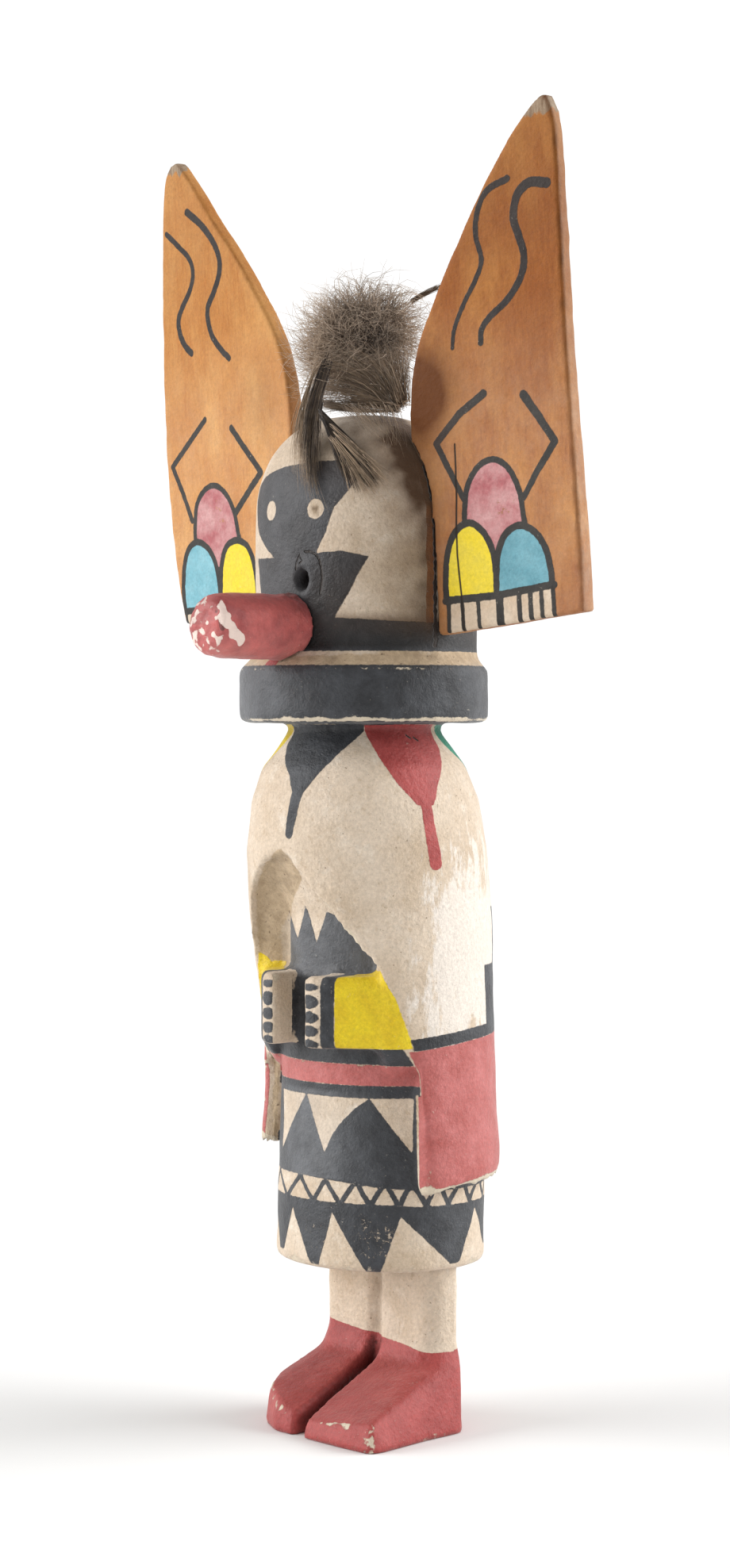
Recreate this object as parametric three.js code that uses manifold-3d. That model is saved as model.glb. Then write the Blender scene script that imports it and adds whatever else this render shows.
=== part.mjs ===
// A carved and painted kachina doll with two tall board ears, a tube snout and a tuft of feathers.
// Millimetres, +Z up. The doll faces -Y, so its own left side is +X.
import * as THREE from 'three';
import { mergeVertices } from 'three/addons/utils/BufferGeometryUtils.js';
import Module from 'manifold-3d';

const wasm = await Module();
wasm.setup();
const { Manifold, Mesh } = wasm;

const gap = 0.3; // glue line between two pieces
const sides = 56; // facets round the figure

const headSides = 26.2; // half the mask's width
const headFront = -24.4; // its face is a little flatter than its back
const headBack = 25;
const domeStart = 209; // the mask is straight up to here
const domeTop = 238.3;
const collarRadius = 29.5;
const collarBottom = 165.8;
const collarTop = 179.2;
const ledgeTop = 182; // the bevel above the collar ends here
const robeHem = 57.8; // at the front of the doll's left; it climbs to the back and the right
const handHalfGap = 4.8;
const earThickness = 5; // at the foot of the board
const earThinning = 0.3; // share of the thickness lost by the tip
const earSweep = THREE.MathUtils.degToRad(7); // outer edges swept back
const earLean = THREE.MathUtils.degToRad(3.5); // tips leaning forward
const earFoot = new THREE.Vector3(0, -6, 190.6);
const snoutRadius = 7.6;
const snoutHeight = 188;
const snoutLength = 51.2; // from the doll's middle to the worn tip

// Skirt and torso as level sections: height, half width, front, back.
const torso = [
  [39.2, 22.5, -14.5, 24.5],
  [40.2, 24.7, -16.8, 26.8],
  [42.2, 25.6, -17.6, 27.9],
  [56, 25.7, -17.6, 28.2],
  [78.5, 24.8, -16.8, 27.7],
  [80.5, 24.8, -16.9, 27.8],
  [89, 24.4, -16.4, 27.6],
  [91.5, 21.5, -16.4, 24],
  [110, 20.5, -16.4, 22],
  [122, 21, -17.8, 20],
  [129, 22, -21.2, 20],
  [137, 23, -26.6, 20],
];

// The robe over the shoulders, from the neck to its hem.
const robe = [
  [50, 29.2, -20.6, 30],
  [65, 29.4, -20.8, 30.2],
  [80, 28.9, -21.2, 30.3],
  [95, 28.4, -22.5, 30.6],
  [108, 28.2, -25.1, 30.8],
  [121, 28.2, -26.6, 30.4],
  [136, 28, -27.6, 28.8],
  [148, 26.4, -26.4, 26.6],
  [155.5, 23.6, -24, 23.8],
  [160, 20.4, -20.6, 20.4],
  [164, 17.6, -17.8, 17.4],
  [167, 17.2, -17.6, 16.8],
];
const robeWall = 3;

// Half width of the robe's front opening by height, wider at the top on the doll's right.
const openingLeft = [
  [136.2, 1], [130, 6], [122.7, 12.2], [116, 16.6], [108.6, 21], [103, 23],
  [97, 24.3], [90, 25.2], [77, 26], [64, 27], [50, 27.8],
];
const openingRight = [
  [136.2, 1], [133.5, 7.3], [130.5, 11], [125.6, 15.6], [118, 18.4], [108.6, 21.4],
  [97, 23.8], [84, 25], [70, 25.6], [50, 26.2],
];

// A point round a level section, squarer than an ellipse where power is above two.
function sectionPoint([z, half, front, back], turn, power) {
  const round = (value) => Math.sign(value) * Math.abs(value) ** (2 / power);
  const middle = (front + back) / 2;
  const deep = (back - front) / 2;
  return [half * round(Math.cos(turn)), middle + deep * round(Math.sin(turn)), z];
}

// A closed skin over rings of points, each ring with the same number of points.
function skin(rings) {
  const count = rings[0].length;
  const centre = (ring) => [0, 1, 2].map((i) => ring.reduce((sum, p) => sum + p[i], 0) / count);
  const points = [...rings.flat(), centre(rings[0]), centre(rings.at(-1))];
  const low = points.length - 2;
  const faces = [];
  for (let k = 0; k < count; k++) {
    const next = (k + 1) % count;
    faces.push(low, next, k);
    for (let r = 0; r < rings.length - 1; r++) {
      const here = r * count;
      const above = here + count;
      faces.push(here + k, here + next, above + next, here + k, above + next, above + k);
    }
    const last = (rings.length - 1) * count;
    faces.push(low + 1, last + k, last + next);
  }
  const geometry = new THREE.BufferGeometry();
  geometry.setAttribute('position', new THREE.Float32BufferAttribute(points.flat(), 3));
  geometry.setIndex(faces);
  return geometry;
}

function loft(sections, power = 2.1) {
  const turns = Array.from({ length: sides }, (_, k) => (k / sides) * 2 * Math.PI);
  return skin(sections.map((section) => turns.map((turn) => sectionPoint(section, turn, power))));
}

function toSolid(geometry) {
  const bare = new THREE.BufferGeometry();
  bare.setAttribute('position', geometry.getAttribute('position').clone());
  bare.setIndex(geometry.index);
  const merged = mergeVertices(bare, 1e-4);
  return new Manifold(new Mesh({
    numProp: 3,
    vertProperties: merged.getAttribute('position').array,
    triVerts: new Uint32Array(merged.index.array),
  }));
}

function toGeometry(solid) {
  const mesh = solid.getMesh();
  const geometry = new THREE.BufferGeometry();
  geometry.setAttribute('position', new THREE.BufferAttribute(mesh.vertProperties, 3));
  geometry.setIndex(new THREE.BufferAttribute(mesh.triVerts, 1));
  const flat = geometry.toNonIndexed();
  flat.computeVertexNormals();
  return flat;
}

function hull(points) {
  return Manifold.hull(points);
}

// The mask and the collar as one form, grown outward for the pieces fitted against them.
function maskAndCollar(grow) {
  const ring = (scale, z) => [
    z, (headSides + grow) * scale, (headFront - grow) * scale, (headBack + grow) * scale,
  ];
  const steps = 11;
  const dome = Array.from({ length: steps }, (_, k) => {
    const turn = ((k + 0.15) / steps) * (Math.PI / 2);
    return ring(Math.cos(turn) ** (2 / 2.7),
      domeStart + (domeTop - domeStart + grow) * Math.sin(turn) ** (2 / 2.7));
  });
  const mask = toSolid(loft([ring(1, collarTop - 6), ring(1, domeStart - 8), ...dome], 2.2));
  const profile = [
    [0, collarBottom - grow], [collarRadius - 0.9 + grow, collarBottom - grow],
    [collarRadius + grow, collarBottom + 0.9], [collarRadius + grow, collarTop - 0.9],
    [collarRadius - 0.9 + grow, collarTop + grow], [headSides - 0.4 + grow, ledgeTop + grow],
    [0, ledgeTop + grow],
  ].map(([radius, height]) => new THREE.Vector2(radius, height));
  const collar = new THREE.LatheGeometry(profile, sides).rotateX(Math.PI / 2)
    .translate(0, -0.4, 0);
  return mask.add(toSolid(collar));
}

// The inverted V of bare front between the robe's two edges.
function robeOpening() {
  const outline = new THREE.Shape([
    ...openingLeft.map(([z, half]) => new THREE.Vector2(half, z)),
    ...openingRight.toReversed().map(([z, half]) => new THREE.Vector2(-half, z)),
  ]);
  const prism = new THREE.ExtrudeGeometry(outline, { depth: 60, bevelEnabled: false });
  return toSolid(prism.rotateX(Math.PI / 2).translate(0, -6, 0));
}

// What is trimmed away under the sloping hem.
function belowHem() {
  const down = new THREE.Vector3(-0.133, 0.04, -1);
  const start = new THREE.Vector3(27.5, -7, robeHem);
  const slab = Manifold.cube([90, 90, 35], true).translate([0, 0, 52.5]);
  return slab.trimByPlane(down.toArray(), down.dot(start));
}

function carvedRobe() {
  const inside = robe.filter(([z]) => z < 137).map(([z, half, front, back]) => [
    z - 1, half - robeWall, front + robeWall, back - robeWall,
  ]);
  const frontHalf = Manifold.cube([90, 60, 90], true).translate([0, -33, 88]);
  const hollow = toSolid(loft(inside)).intersect(frontHalf);
  return toSolid(loft(robe)).subtract(hollow).subtract(robeOpening()).subtract(belowHem());
}

// A forearm and hand bent across the waist; side is 1 for the doll's left and -1 for its right.
function forearm(side) {
  const plan = [
    [handHalfGap, -25.4], [8.4, -25], [11.2, -23.2], [15, -19.6], [19.5, -15.2], [24.4, -10.4],
    [25.8, -5], [12, -8], [handHalfGap, -12],
  ];
  const outline = new THREE.Shape(plan.map(([x, y]) => new THREE.Vector2(side * x, y)));
  const bar = new THREE.ExtrudeGeometry(outline, {
    depth: 15.4, bevelThickness: 0.8, bevelSize: 0.8, bevelOffset: -0.8, bevelSegments: 2,
  });
  return toSolid(bar.translate(0, 0, 91.6));
}

// A leg and its boot; outer and inner are the distances of the leg's two faces from the middle.
function leg(side, inner, outer, sole, ankle) {
  const at = (points, z) => points.map(([x, y]) => [side * x, y, z]);
  const corners = [
    [inner, 4.6], [inner + 1.2, 3.2], [outer - 4.4, 3], [outer - 0.8, 6], [outer, 10.4],
    [outer - 2.5, 12.8], [inner, 13],
  ];
  const shin = hull([...at(corners, 10), ...at(corners, 46)]);
  const boot = hull([...at(sole.base, 0), ...sole.rim.map(([x, y, z]) => [side * x, y, z]),
    ...at(ankle, 15.5)]);
  const cuff = hull([...at(ankle, 15.4), ...at(corners, 20)]);
  return shin.add(boot).add(cuff);
}

const leftSole = {
  base: [[2, -20.4], [11, -21], [22.4, -21.4], [24.4, -18], [24.4, 6.8], [21, 11.4], [2, 12.6]],
  rim: [
    [1.9, -21.1, 1], [11, -21.8, 1], [23.8, -21.7, 1], [24.9, -18, 1], [24.9, 7, 1],
    [1.9, -19.7, 4.4], [12, -20.4, 4.8], [22.6, -20, 6.2], [23.4, 8.6, 6],
  ],
};
const rightSole = {
  base: [[2, -20.2], [8, -19.6], [15, -16], [18.6, -10], [20, 2], [18.6, 10.5], [2, 12.6]],
  rim: [
    [1.9, -21, 1], [8.6, -20.4, 1], [15.6, -16.6, 1], [19.4, -10, 1], [20.8, 2, 1],
    [1.9, -19.6, 4.8], [8.6, -19.2, 7.2], [15, -15.8, 9.4], [19, -9.4, 10.6], [20.2, 8, 8],
  ],
};
const leftAnkle = [[1.9, 1.6], [15, 0.8], [20.6, 4], [22, 9.8], [18, 13.4], [1.9, 13.4]];
const rightAnkle = [[1.9, 1.8], [14.6, 0.8], [19.4, 4.4], [20, 10.4], [17, 13.2], [1.9, 13.2]];

function figure() {
  const pegHole = Manifold.cylinder(9, 1.5, 0.9, 12).rotate([90, 0, 0])
    .translate([3.6, -18, 199.6]);
  return toSolid(loft(torso))
    .add(carvedRobe())
    .add(forearm(1)).add(forearm(-1))
    .add(leg(1, 1, 20.2, leftSole, leftAnkle))
    .add(leg(-1, 1, 19.4, rightSole, rightAnkle))
    .add(maskAndCollar(0))
    .subtract(pegHole);
}

// The outline of an ear board: across from the doll's middle line, and up the board.
const leftEar = {
  outer: [
    [67.2, 0], [66.9, 16], [65.8, 38], [64.8, 62], [64.4, 83], [63.9, 102], [63.2, 110],
    [61.4, 114.4],
  ],
  inner: [
    [60, 114.4], [58.2, 113.2], [54.1, 109.6], [49.7, 104.5], [41.7, 93.9], [35, 83.1],
    [31.3, 76.9], [27.4, 70.1], [23.8, 62.6], [21.5, 55.5], [20.5, 48], [20.3, 36], [20, 20],
    [20, -5.6],
  ],
};
const rightEar = {
  outer: [
    [67.1, 0], [69.6, 11], [71.4, 28], [71.9, 49], [70.5, 77], [68.4, 100], [66.6, 110],
    [64, 113.6], [61.4, 114.5],
  ],
  inner: [
    [59.8, 113.6], [52.5, 105.6], [46.3, 97.8], [40.1, 91.3], [34.2, 84.2], [28.3, 76.3],
    [23.8, 69.6], [20.2, 61], [18.6, 50], [18.6, 38], [19, 20], [19, -5.6],
  ],
};

function earBoard({ outer, inner }, side) {
  const smooth = (points) => new THREE.SplineCurve(
    points.map(([across, up]) => new THREE.Vector2(side * across, up)),
  ).getPoints(points.length * 2);
  const outline = new THREE.Shape([...smooth(outer), ...smooth(inner)]);
  const board = new THREE.ExtrudeGeometry(outline, {
    depth: earThickness - 1.2, bevelThickness: 0.6, bevelSize: 0.6, bevelOffset: -0.6,
    bevelSegments: 1,
  }).translate(0, 0, 0.6 - earThickness);
  const place = board.getAttribute('position');
  for (let k = 0; k < place.count; k++) {
    place.setZ(k, place.getZ(k) * (1 - (earThinning * Math.max(place.getY(k), 0)) / 115));
  }
  board.rotateX(Math.PI / 2 + earLean).rotateZ(side * earSweep)
    .translate(earFoot.x, earFoot.y, earFoot.z);
  return toSolid(board).subtract(maskAndCollar(gap));
}

// The tube snout, turned about its own axis and scribed to the mask.
function snout() {
  const profile = [
    [0, 18], [snoutRadius, 18], [snoutRadius, 30], [snoutRadius + 0.2, 38],
    [snoutRadius - 0.1, 46], [7, 48.8], [5.9, 50.3], [4.2, 51], [0, snoutLength],
  ].map(([radius, out]) => new THREE.Vector2(radius, out));
  const tube = new THREE.LatheGeometry(profile, 28).rotateX(Math.PI).translate(0, 0, snoutHeight);
  return toSolid(tube).subtract(maskAndCollar(gap));
}

// A feather as a thin lens of few sides, along a bent quill: each stop is x, y, z, half width.
function feather(stops, across, thick) {
  const wide = new THREE.Vector3(...across).normalize();
  const points = stops.map(([x, y, z]) => new THREE.Vector3(x, y, z));
  const rings = stops.map(([, , , half], k) => {
    const ahead = points[Math.min(k + 1, points.length - 1)];
    const behind = points[Math.max(k - 1, 0)];
    const along = ahead.clone().sub(behind).normalize();
    const deep = new THREE.Vector3().crossVectors(along, wide).normalize();
    const flat = new THREE.Vector3().crossVectors(deep, along);
    return Array.from({ length: 6 }, (_, corner) => {
      const turn = (corner / 6) * 2 * Math.PI;
      return points[k].clone().addScaledVector(flat, half * Math.cos(turn))
        .addScaledVector(deep, (thick / 2) * Math.sin(turn)).toArray();
    });
  });
  const solid = toSolid(skin(rings));
  return solid.volume() < 0 ? toSolid(skin(rings.toReversed())) : solid;
}

// The ball of down above the mask, lumpy like a clump of short feathers.
function downTuft() {
  const ball = new THREE.IcosahedronGeometry(1, 3);
  const place = ball.getAttribute('position');
  for (let k = 0; k < place.count; k++) {
    const p = new THREE.Vector3().fromBufferAttribute(place, k);
    const lump = 1 + 0.06 * Math.sin(5 * p.x + 3 * p.z) * Math.cos(6 * p.y - 2 * p.z);
    place.setXYZ(k, 16 * lump * p.x, 13 * lump * p.y - 0.5, 256.8 + 14.6 * lump * p.z);
  }
  return toSolid(mergeVertices(ball.deleteAttribute('normal').deleteAttribute('uv'), 1e-3));
}

const quillStops = [[-10, -9, 240.2, 0.8], [-4, -5, 240.6, 1.1], [4, 1, 240.3, 0.7]];
const hangingStops = [
  [-3, -13.4, 245.4, 1], [-0.8, -16.2, 241.4, 2.4], [2.4, -20.6, 233, 2.6], [5.2, -24.2, 224, 1.6],
  [6.4, -26.4, 214, 0.5],
];
const wedgeStops = [
  [7.2, -17, 236.6, 1.8], [10, -17.8, 233.2, 3.4], [15, -17.9, 228.8, 3], [20, -17.6, 222.8, 0.8],
];

const woodWhite = new THREE.MeshStandardMaterial({ color: '#ddd2c2', roughness: 0.9 });
const woodOrange = new THREE.MeshStandardMaterial({ color: '#c07a3e', roughness: 0.85 });
const woodRed = new THREE.MeshStandardMaterial({ color: '#b2505c', roughness: 0.85 });
const down = new THREE.MeshStandardMaterial({ color: '#7a6a5e', roughness: 1 });
const vane = new THREE.MeshStandardMaterial({ color: '#4a3f39', roughness: 0.8 });

const doll = new THREE.Group();
doll.name = 'kachina_doll';

function piece(name, solid, material) {
  const mesh = new THREE.Mesh(toGeometry(solid), material);
  mesh.name = name;
  doll.add(mesh);
}

piece('figure', figure(), woodWhite);
piece('left_ear', earBoard(leftEar, 1), woodOrange);
piece('right_ear', earBoard(rightEar, -1), woodOrange);
piece('snout', snout(), woodRed);
piece('down_tuft', downTuft(), down);
piece('quill_feather', feather(quillStops, [0, 0, 1], 1), vane);
piece('hanging_feather', feather(hangingStops, [1, 0.2, 0], 1), vane);
piece('wedge_feather', feather(wedgeStops, [0.1, 0.3, 1], 1), vane);

// The doll stands on z = 0 with the origin under the middle of its outline.
const middle = new THREE.Box3().setFromObject(doll).getCenter(new THREE.Vector3());
doll.position.set(-middle.x, -middle.y, 0);

export default doll;
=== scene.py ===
import bmesh
import bpy
import math
import numpy as np
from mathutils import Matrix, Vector, noise
from mathutils.bvhtree import BVHTree
from functools import partial
from types import SimpleNamespace


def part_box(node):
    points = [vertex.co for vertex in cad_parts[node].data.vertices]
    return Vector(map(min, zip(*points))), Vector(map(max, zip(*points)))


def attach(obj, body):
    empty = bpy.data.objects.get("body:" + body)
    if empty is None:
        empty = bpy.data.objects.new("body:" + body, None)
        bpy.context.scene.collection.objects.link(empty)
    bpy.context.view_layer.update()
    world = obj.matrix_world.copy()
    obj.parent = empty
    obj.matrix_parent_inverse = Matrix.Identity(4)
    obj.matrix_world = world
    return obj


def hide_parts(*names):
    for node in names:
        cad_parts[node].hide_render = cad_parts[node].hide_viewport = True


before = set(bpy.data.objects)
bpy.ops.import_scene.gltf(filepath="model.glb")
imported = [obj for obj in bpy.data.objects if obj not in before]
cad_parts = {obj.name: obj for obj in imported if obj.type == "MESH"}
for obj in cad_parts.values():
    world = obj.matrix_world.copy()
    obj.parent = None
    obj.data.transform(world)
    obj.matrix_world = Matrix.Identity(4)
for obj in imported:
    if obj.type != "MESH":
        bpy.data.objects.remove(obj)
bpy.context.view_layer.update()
print("frame loaded")

mm = 0.001
robeBack = 30.8  # the robe's back behind the doll's middle line
figureLow, figureHigh = [np.array(corner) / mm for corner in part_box("figure")]
middle = np.array([(figureLow[0] + figureHigh[0]) / 2, figureHigh[1] - robeBack, 0])
far = 5.0  # a distance well clear of any paint edge


def colour(code):  # sRGB hex to linear
    parts = [int(code[i:i + 2], 16) / 255 for i in (1, 3, 5)]
    return [c / 12.92 if c <= 0.04045 else ((c + 0.055) / 1.055) ** 2.4 for c in parts] + [1]


def addNode(tree, kind, given, output=0):  # links sockets, sets plain values, gives back one output
    node = tree.nodes.new("ShaderNode" + kind)
    for key, value in given.items():
        if isinstance(value, bpy.types.NodeSocket):
            tree.links.new(value, node.inputs[key])
        elif isinstance(key, int) or key in node.inputs.keys():
            node.inputs[key].default_value = value
        else:
            setattr(node, key, value)
    return node.outputs[output] if len(node.outputs) else node


def addPiece(name, mesh, standsFor=()):
    piece = bpy.data.objects.new(name, mesh)
    bpy.context.scene.collection.objects.link(piece)
    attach(piece, "root")
    if standsFor:
        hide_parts(*standsFor)
    return piece


def addPocketWood(mesh, levels):  # wood left standing in a pocket, as the knife left it
    shell = bmesh.new()
    shell.from_mesh(mesh)
    rings = [[shell.verts.new(((np.array([x, y, z]) + middle) * mm).tolist()) for x, y in plan]
             for z, plan in levels]
    shell.faces.new(rings[0][::-1])
    shell.faces.new(rings[-1])
    for low, high in zip(rings[:-1], rings[1:]):
        for k in range(len(low)):
            n = (k + 1) % len(low)
            shell.faces.new([low[k], low[n], high[n], high[k]])
    shell.to_mesh(mesh)
    shell.free()


def carvedCopy(node, name, shape):  # a fine, hand-softened copy of a plain solid
    piece = addPiece(name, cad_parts[node].data.copy(), (node,))
    piece.data.materials.clear()
    for levels in shape.get("pockets", ()):
        addPocketWood(piece.data, levels)
    grain = piece.modifiers.new("grain", "REMESH")
    grain.mode, grain.voxel_size, grain.use_smooth_shade = "VOXEL", shape["voxel"] * mm, True
    soften = piece.modifiers.new("soften", "SMOOTH")
    soften.factor, soften.iterations = 0.5, shape["softness"]
    mesh = bpy.data.meshes.new_from_object(piece.evaluated_get(bpy.context.evaluated_depsgraph_get()))
    piece.modifiers.clear()
    piece.data = mesh
    mesh.name = name
    return mesh


def pointsOf(mesh):  # millimetres from the doll's middle line
    flat = np.empty(len(mesh.vertices) * 3)
    mesh.vertices.foreach_get("co", flat)
    return flat.reshape(-1, 3) / mm - middle


def setPoints(mesh, points):
    mesh.vertices.foreach_set("co", ((points + middle) * mm).ravel())
    mesh.update()


def normalsOf(mesh):
    flat = np.empty(len(mesh.vertices) * 3)
    mesh.vertex_normals.foreach_get("vector", flat)
    return flat.reshape(-1, 3)


def finerNearPaint(mesh, fields, reach):  # halves the faces that paint edges cross
    close = np.min([np.abs(f) for f in fields], axis=0) < reach
    shell = bmesh.new()
    shell.from_mesh(mesh)
    shell.verts.ensure_lookup_table()
    edges = [edge for edge in shell.edges if close[edge.verts[0].index] and close[edge.verts[1].index]]
    bmesh.ops.subdivide_edges(shell, edges=edges, cuts=1, use_grid_fill=True)
    shell.to_mesh(mesh)
    shell.free()
    mesh.update()


def writeFields(mesh, fields):  # one value a point, read by the material
    for name, values in fields.items():
        values = np.broadcast_to(values, len(mesh.vertices)).astype(np.float32)
        mesh.attributes.new(name, "FLOAT", "POINT").data.foreach_set("value", values)


def triangles(mesh):
    return sum(len(face.vertices) - 2 for face in mesh.polygons)


def lumps(points, size, seed):  # smooth noise about -1 to 1
    shift = Vector((seed * 17.3, seed * 9.1, seed * 5.7))
    return np.array([noise.noise(Vector(p) / size + shift) for p in points])


def rounding(mesh):  # positive on outside corners, negative in hollows, in parts of a millimetre
    points, normals = pointsOf(mesh), normalsOf(mesh)
    ends = np.empty(len(mesh.edges) * 2, dtype=np.int32)
    mesh.edges.foreach_get("vertices", ends)
    a, b = ends.reshape(-1, 2).T
    count = np.bincount(np.concatenate([a, b]), minlength=len(points))[:, None]

    def around(values):
        total = np.zeros_like(values)
        np.add.at(total, a, values[b])
        np.add.at(total, b, values[a])
        return total / np.maximum(count, 1)
    bend = ((points - around(points)) * normals).sum(axis=1, keepdims=True)
    for _ in range(3):
        bend = (bend + around(bend)) / 2
    return bend[:, 0]


def rise(value, start, span):  # 0 up to the start, 1 once the span is past
    return np.clip((value - start) / span, 0, 1)


def fall(value, end, span):  # 1 until a span before the end, 0 from there
    return np.clip((end - value) / span, 0, 1)


def bell(value, centre, width):  # 1 at the centre, fading over the width
    return np.exp(-((value - centre) / width) ** 2)


# Paint shapes are distances in millimetres, negative under the paint.

def throughPoints(points, steps=7):  # a smooth brush path
    p = np.array(points, dtype=float)
    p = np.vstack([2 * p[0] - p[1], p, 2 * p[-1] - p[-2]])
    t = np.linspace(0, 1, steps, endpoint=False)[:, None]
    spans = [
        0.5 * (2 * p[i] + (p[i + 1] - p[i - 1]) * t
               + (2 * p[i - 1] - 5 * p[i] + 4 * p[i + 1] - p[i + 2]) * t ** 2
               + (3 * p[i] - p[i - 1] - 3 * p[i + 1] + p[i + 2]) * t ** 3)
        for i in range(1, len(p) - 2)
    ]
    return np.vstack(spans + [p[-2:-1]])


def toLine(spots, line, startWidth=0.0, endWidth=0.0):
    line = np.array(line, dtype=float)
    best = np.full(len(spots), 1e3)
    gone = np.concatenate([[0], np.cumsum(np.linalg.norm(np.diff(line, axis=0), axis=1))])
    for k, (start, end) in enumerate(zip(line[:-1], line[1:])):
        along = end - start
        share = np.clip(((spots - start) @ along) / max(along @ along, 1e-9), 0, 1)
        done = (gone[k] + share * (gone[k + 1] - gone[k])) / max(gone[-1], 1e-9)
        width = startWidth + (endWidth - startWidth) * done
        away = np.linalg.norm(spots - start - share[:, None] * along, axis=1)
        best = np.minimum(best, away - width / 2)
    return best


def stroke(spots, line, width, smooth=True):  # one width, or a start and an end width
    start, end = width if isinstance(width, tuple) else (width, width)
    return toLine(spots, throughPoints(line) if smooth else line, start, end)


def area(spots, corners, smooth=False):
    edge = throughPoints(corners) if smooth else np.array(corners, dtype=float)
    inside = np.zeros(len(spots), dtype=bool)
    x, y = spots.T
    for (x0, y0), (x1, y1) in zip(edge, np.roll(edge, -1, axis=0)):
        crosses = (y0 > y) != (y1 > y)
        inside ^= crosses & (x < (x1 - x0) * (y - y0) / (y1 - y0 + 1e-12) + x0)
    distance = toLine(spots, np.vstack([edge, edge[:1]]))
    return np.where(inside, -distance, distance)


def oval(spots, centre, halfWide, halfTall):
    stretch = np.hypot((spots[:, 0] - centre[0]) / halfWide, (spots[:, 1] - centre[1]) / halfTall)
    return (stretch - 1) * min(halfWide, halfTall)


def join(*fields):
    return np.minimum.reduce(fields)


def within(*fields):
    return np.maximum.reduce(fields)


def turnOf(points, middleY=0.0):  # degrees round the doll, 0 in front, positive to its left
    return np.degrees(np.arctan2(points[:, 0], -(points[:, 1] - middleY)))


paints = {
    "kaolinWhite": "#d2c1ad",   # white clay wash: chalky, warm, a little uneven
    "kaolinStain": "#bba68d",   # where hands and age have browned it
    "bareRoot": "#c0aa8d",      # cottonwood root without paint
    "charcoal": "#292a2d",      # soot black in a thin binder: soft blue-grey where light grazes it
    "charcoalRubbed": "#404246",
    "ironRed": "#963936",       # red earth, thick and close
    "ironRedPale": "#ab4b48",
    "roseRed": "#a8544f",       # the same earth rubbed thin over white
    "roseRedPale": "#bc6c69",
    "limoniteYellow": "#e2c81c",
    "limoniteDeep": "#d2b117",
    "copperGreen": "#0f6f56",
    "skyBlue": "#63a0b0",
}


def emptyMaterial(name):  # with its way to add a node, and the place each pattern is laid from
    material = bpy.data.materials.new(name)
    material.use_nodes = True
    material.node_tree.nodes.clear()
    add = partial(addNode, material.node_tree)
    return material, add, add("TexCoord", {}, "Object")


def finishMaterial(add, shown, rough, height, bump,
                   constants):  # bump is its strength and its depth in metres
    normal = add("Bump", {"Strength": bump[0], "Distance": bump[1], "Height": height})
    look = {"Base Color": shown, "Roughness": rough, "Normal": normal, "Sheen Roughness": 0.4, **constants}
    add("OutputMaterial", {"Surface": add("BsdfPrincipled", look)})


def grit(size, detail=4.0, rough=0.55):  # a pattern's scale from its size in millimetres
    return {"Scale": 1000 / size, "Detail": detail, "Roughness": rough}


def patches(add, place, pattern, low, high, faint=0.0, full=1.0):  # soft-edged patches of a pattern
    cloud = add("TexNoise", {"Vector": place, **pattern})
    return add("MapRange", {"Value": cloud, "From Min": low, "From Max": high, "To Min": faint,
                            "To Max": full})


def scattered(add, place, pattern, amount, plus):  # a value made uneven by a pattern
    cloud = add("TexNoise", {"Vector": place, **pattern})
    return add("Math", {"operation": "MULTIPLY_ADD", 0: cloud, 1: amount, 2: plus})


def coat(add, shown, mask, code, strength=1.0, kind="MIX"):  # lays one flat colour over what is shown
    share = add("Math", {"operation": "MULTIPLY", 0: mask, 1: strength})
    return add("Mix", {"data_type": "RGBA", "blend_type": kind, 0: share, 6: shown, 7: colour(code)}, 2)


def twoColours(add, share, codes):
    return add("Mix", {"data_type": "RGBA", 0: share, 6: colour(codes[0]), 7: colour(codes[1])}, 2)


def alongGrain(add, place, share):  # stretches a pattern up the wood's long grain
    return add("Mapping", {"Vector": place, "Scale": (1.0, 1.0, share)})


def brushOn(add, place, shown, layers, ragged):  # each paint over the last, with its film of paint
    wander = scattered(add, place, grit(1.1), ragged, -ragged / 2)
    cloud = patches(add, place, grit(6, 8.0, 0.65), 0.36, 0.66)
    rubbed = add("Attribute", {"attribute_name": "rubbed"}, "Fac")
    thinned = add("Math", {"operation": "MULTIPLY", 0: rubbed, 1: -0.17})
    flaked = scattered(add, place, grit(1.6, 8.0, 0.75), 1.0, thinned)
    film = 0.0
    for attribute, codes, chips in layers:
        distance = add("Attribute", {"attribute_name": attribute}, "Fac")
        edge = add("Math", {"operation": "ADD", 0: distance, 1: wander})
        mask = add("MapRange", {"Value": edge, "From Min": 0.09, "From Max": -0.09})
        whole = add("MapRange", {"Value": flaked, "From Min": 0.24 + chips, "From Max": 0.3 + chips})
        mask = add("Math", {"operation": "MULTIPLY", 0: mask, 1: whole})
        shown = add("Mix", {"data_type": "RGBA", 0: mask, 6: shown, 7: twoColours(add, cloud, codes)}, 2)
        film = add("Math", {"operation": "MAXIMUM", 0: mask, 1: film})
    return shown, film


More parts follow.
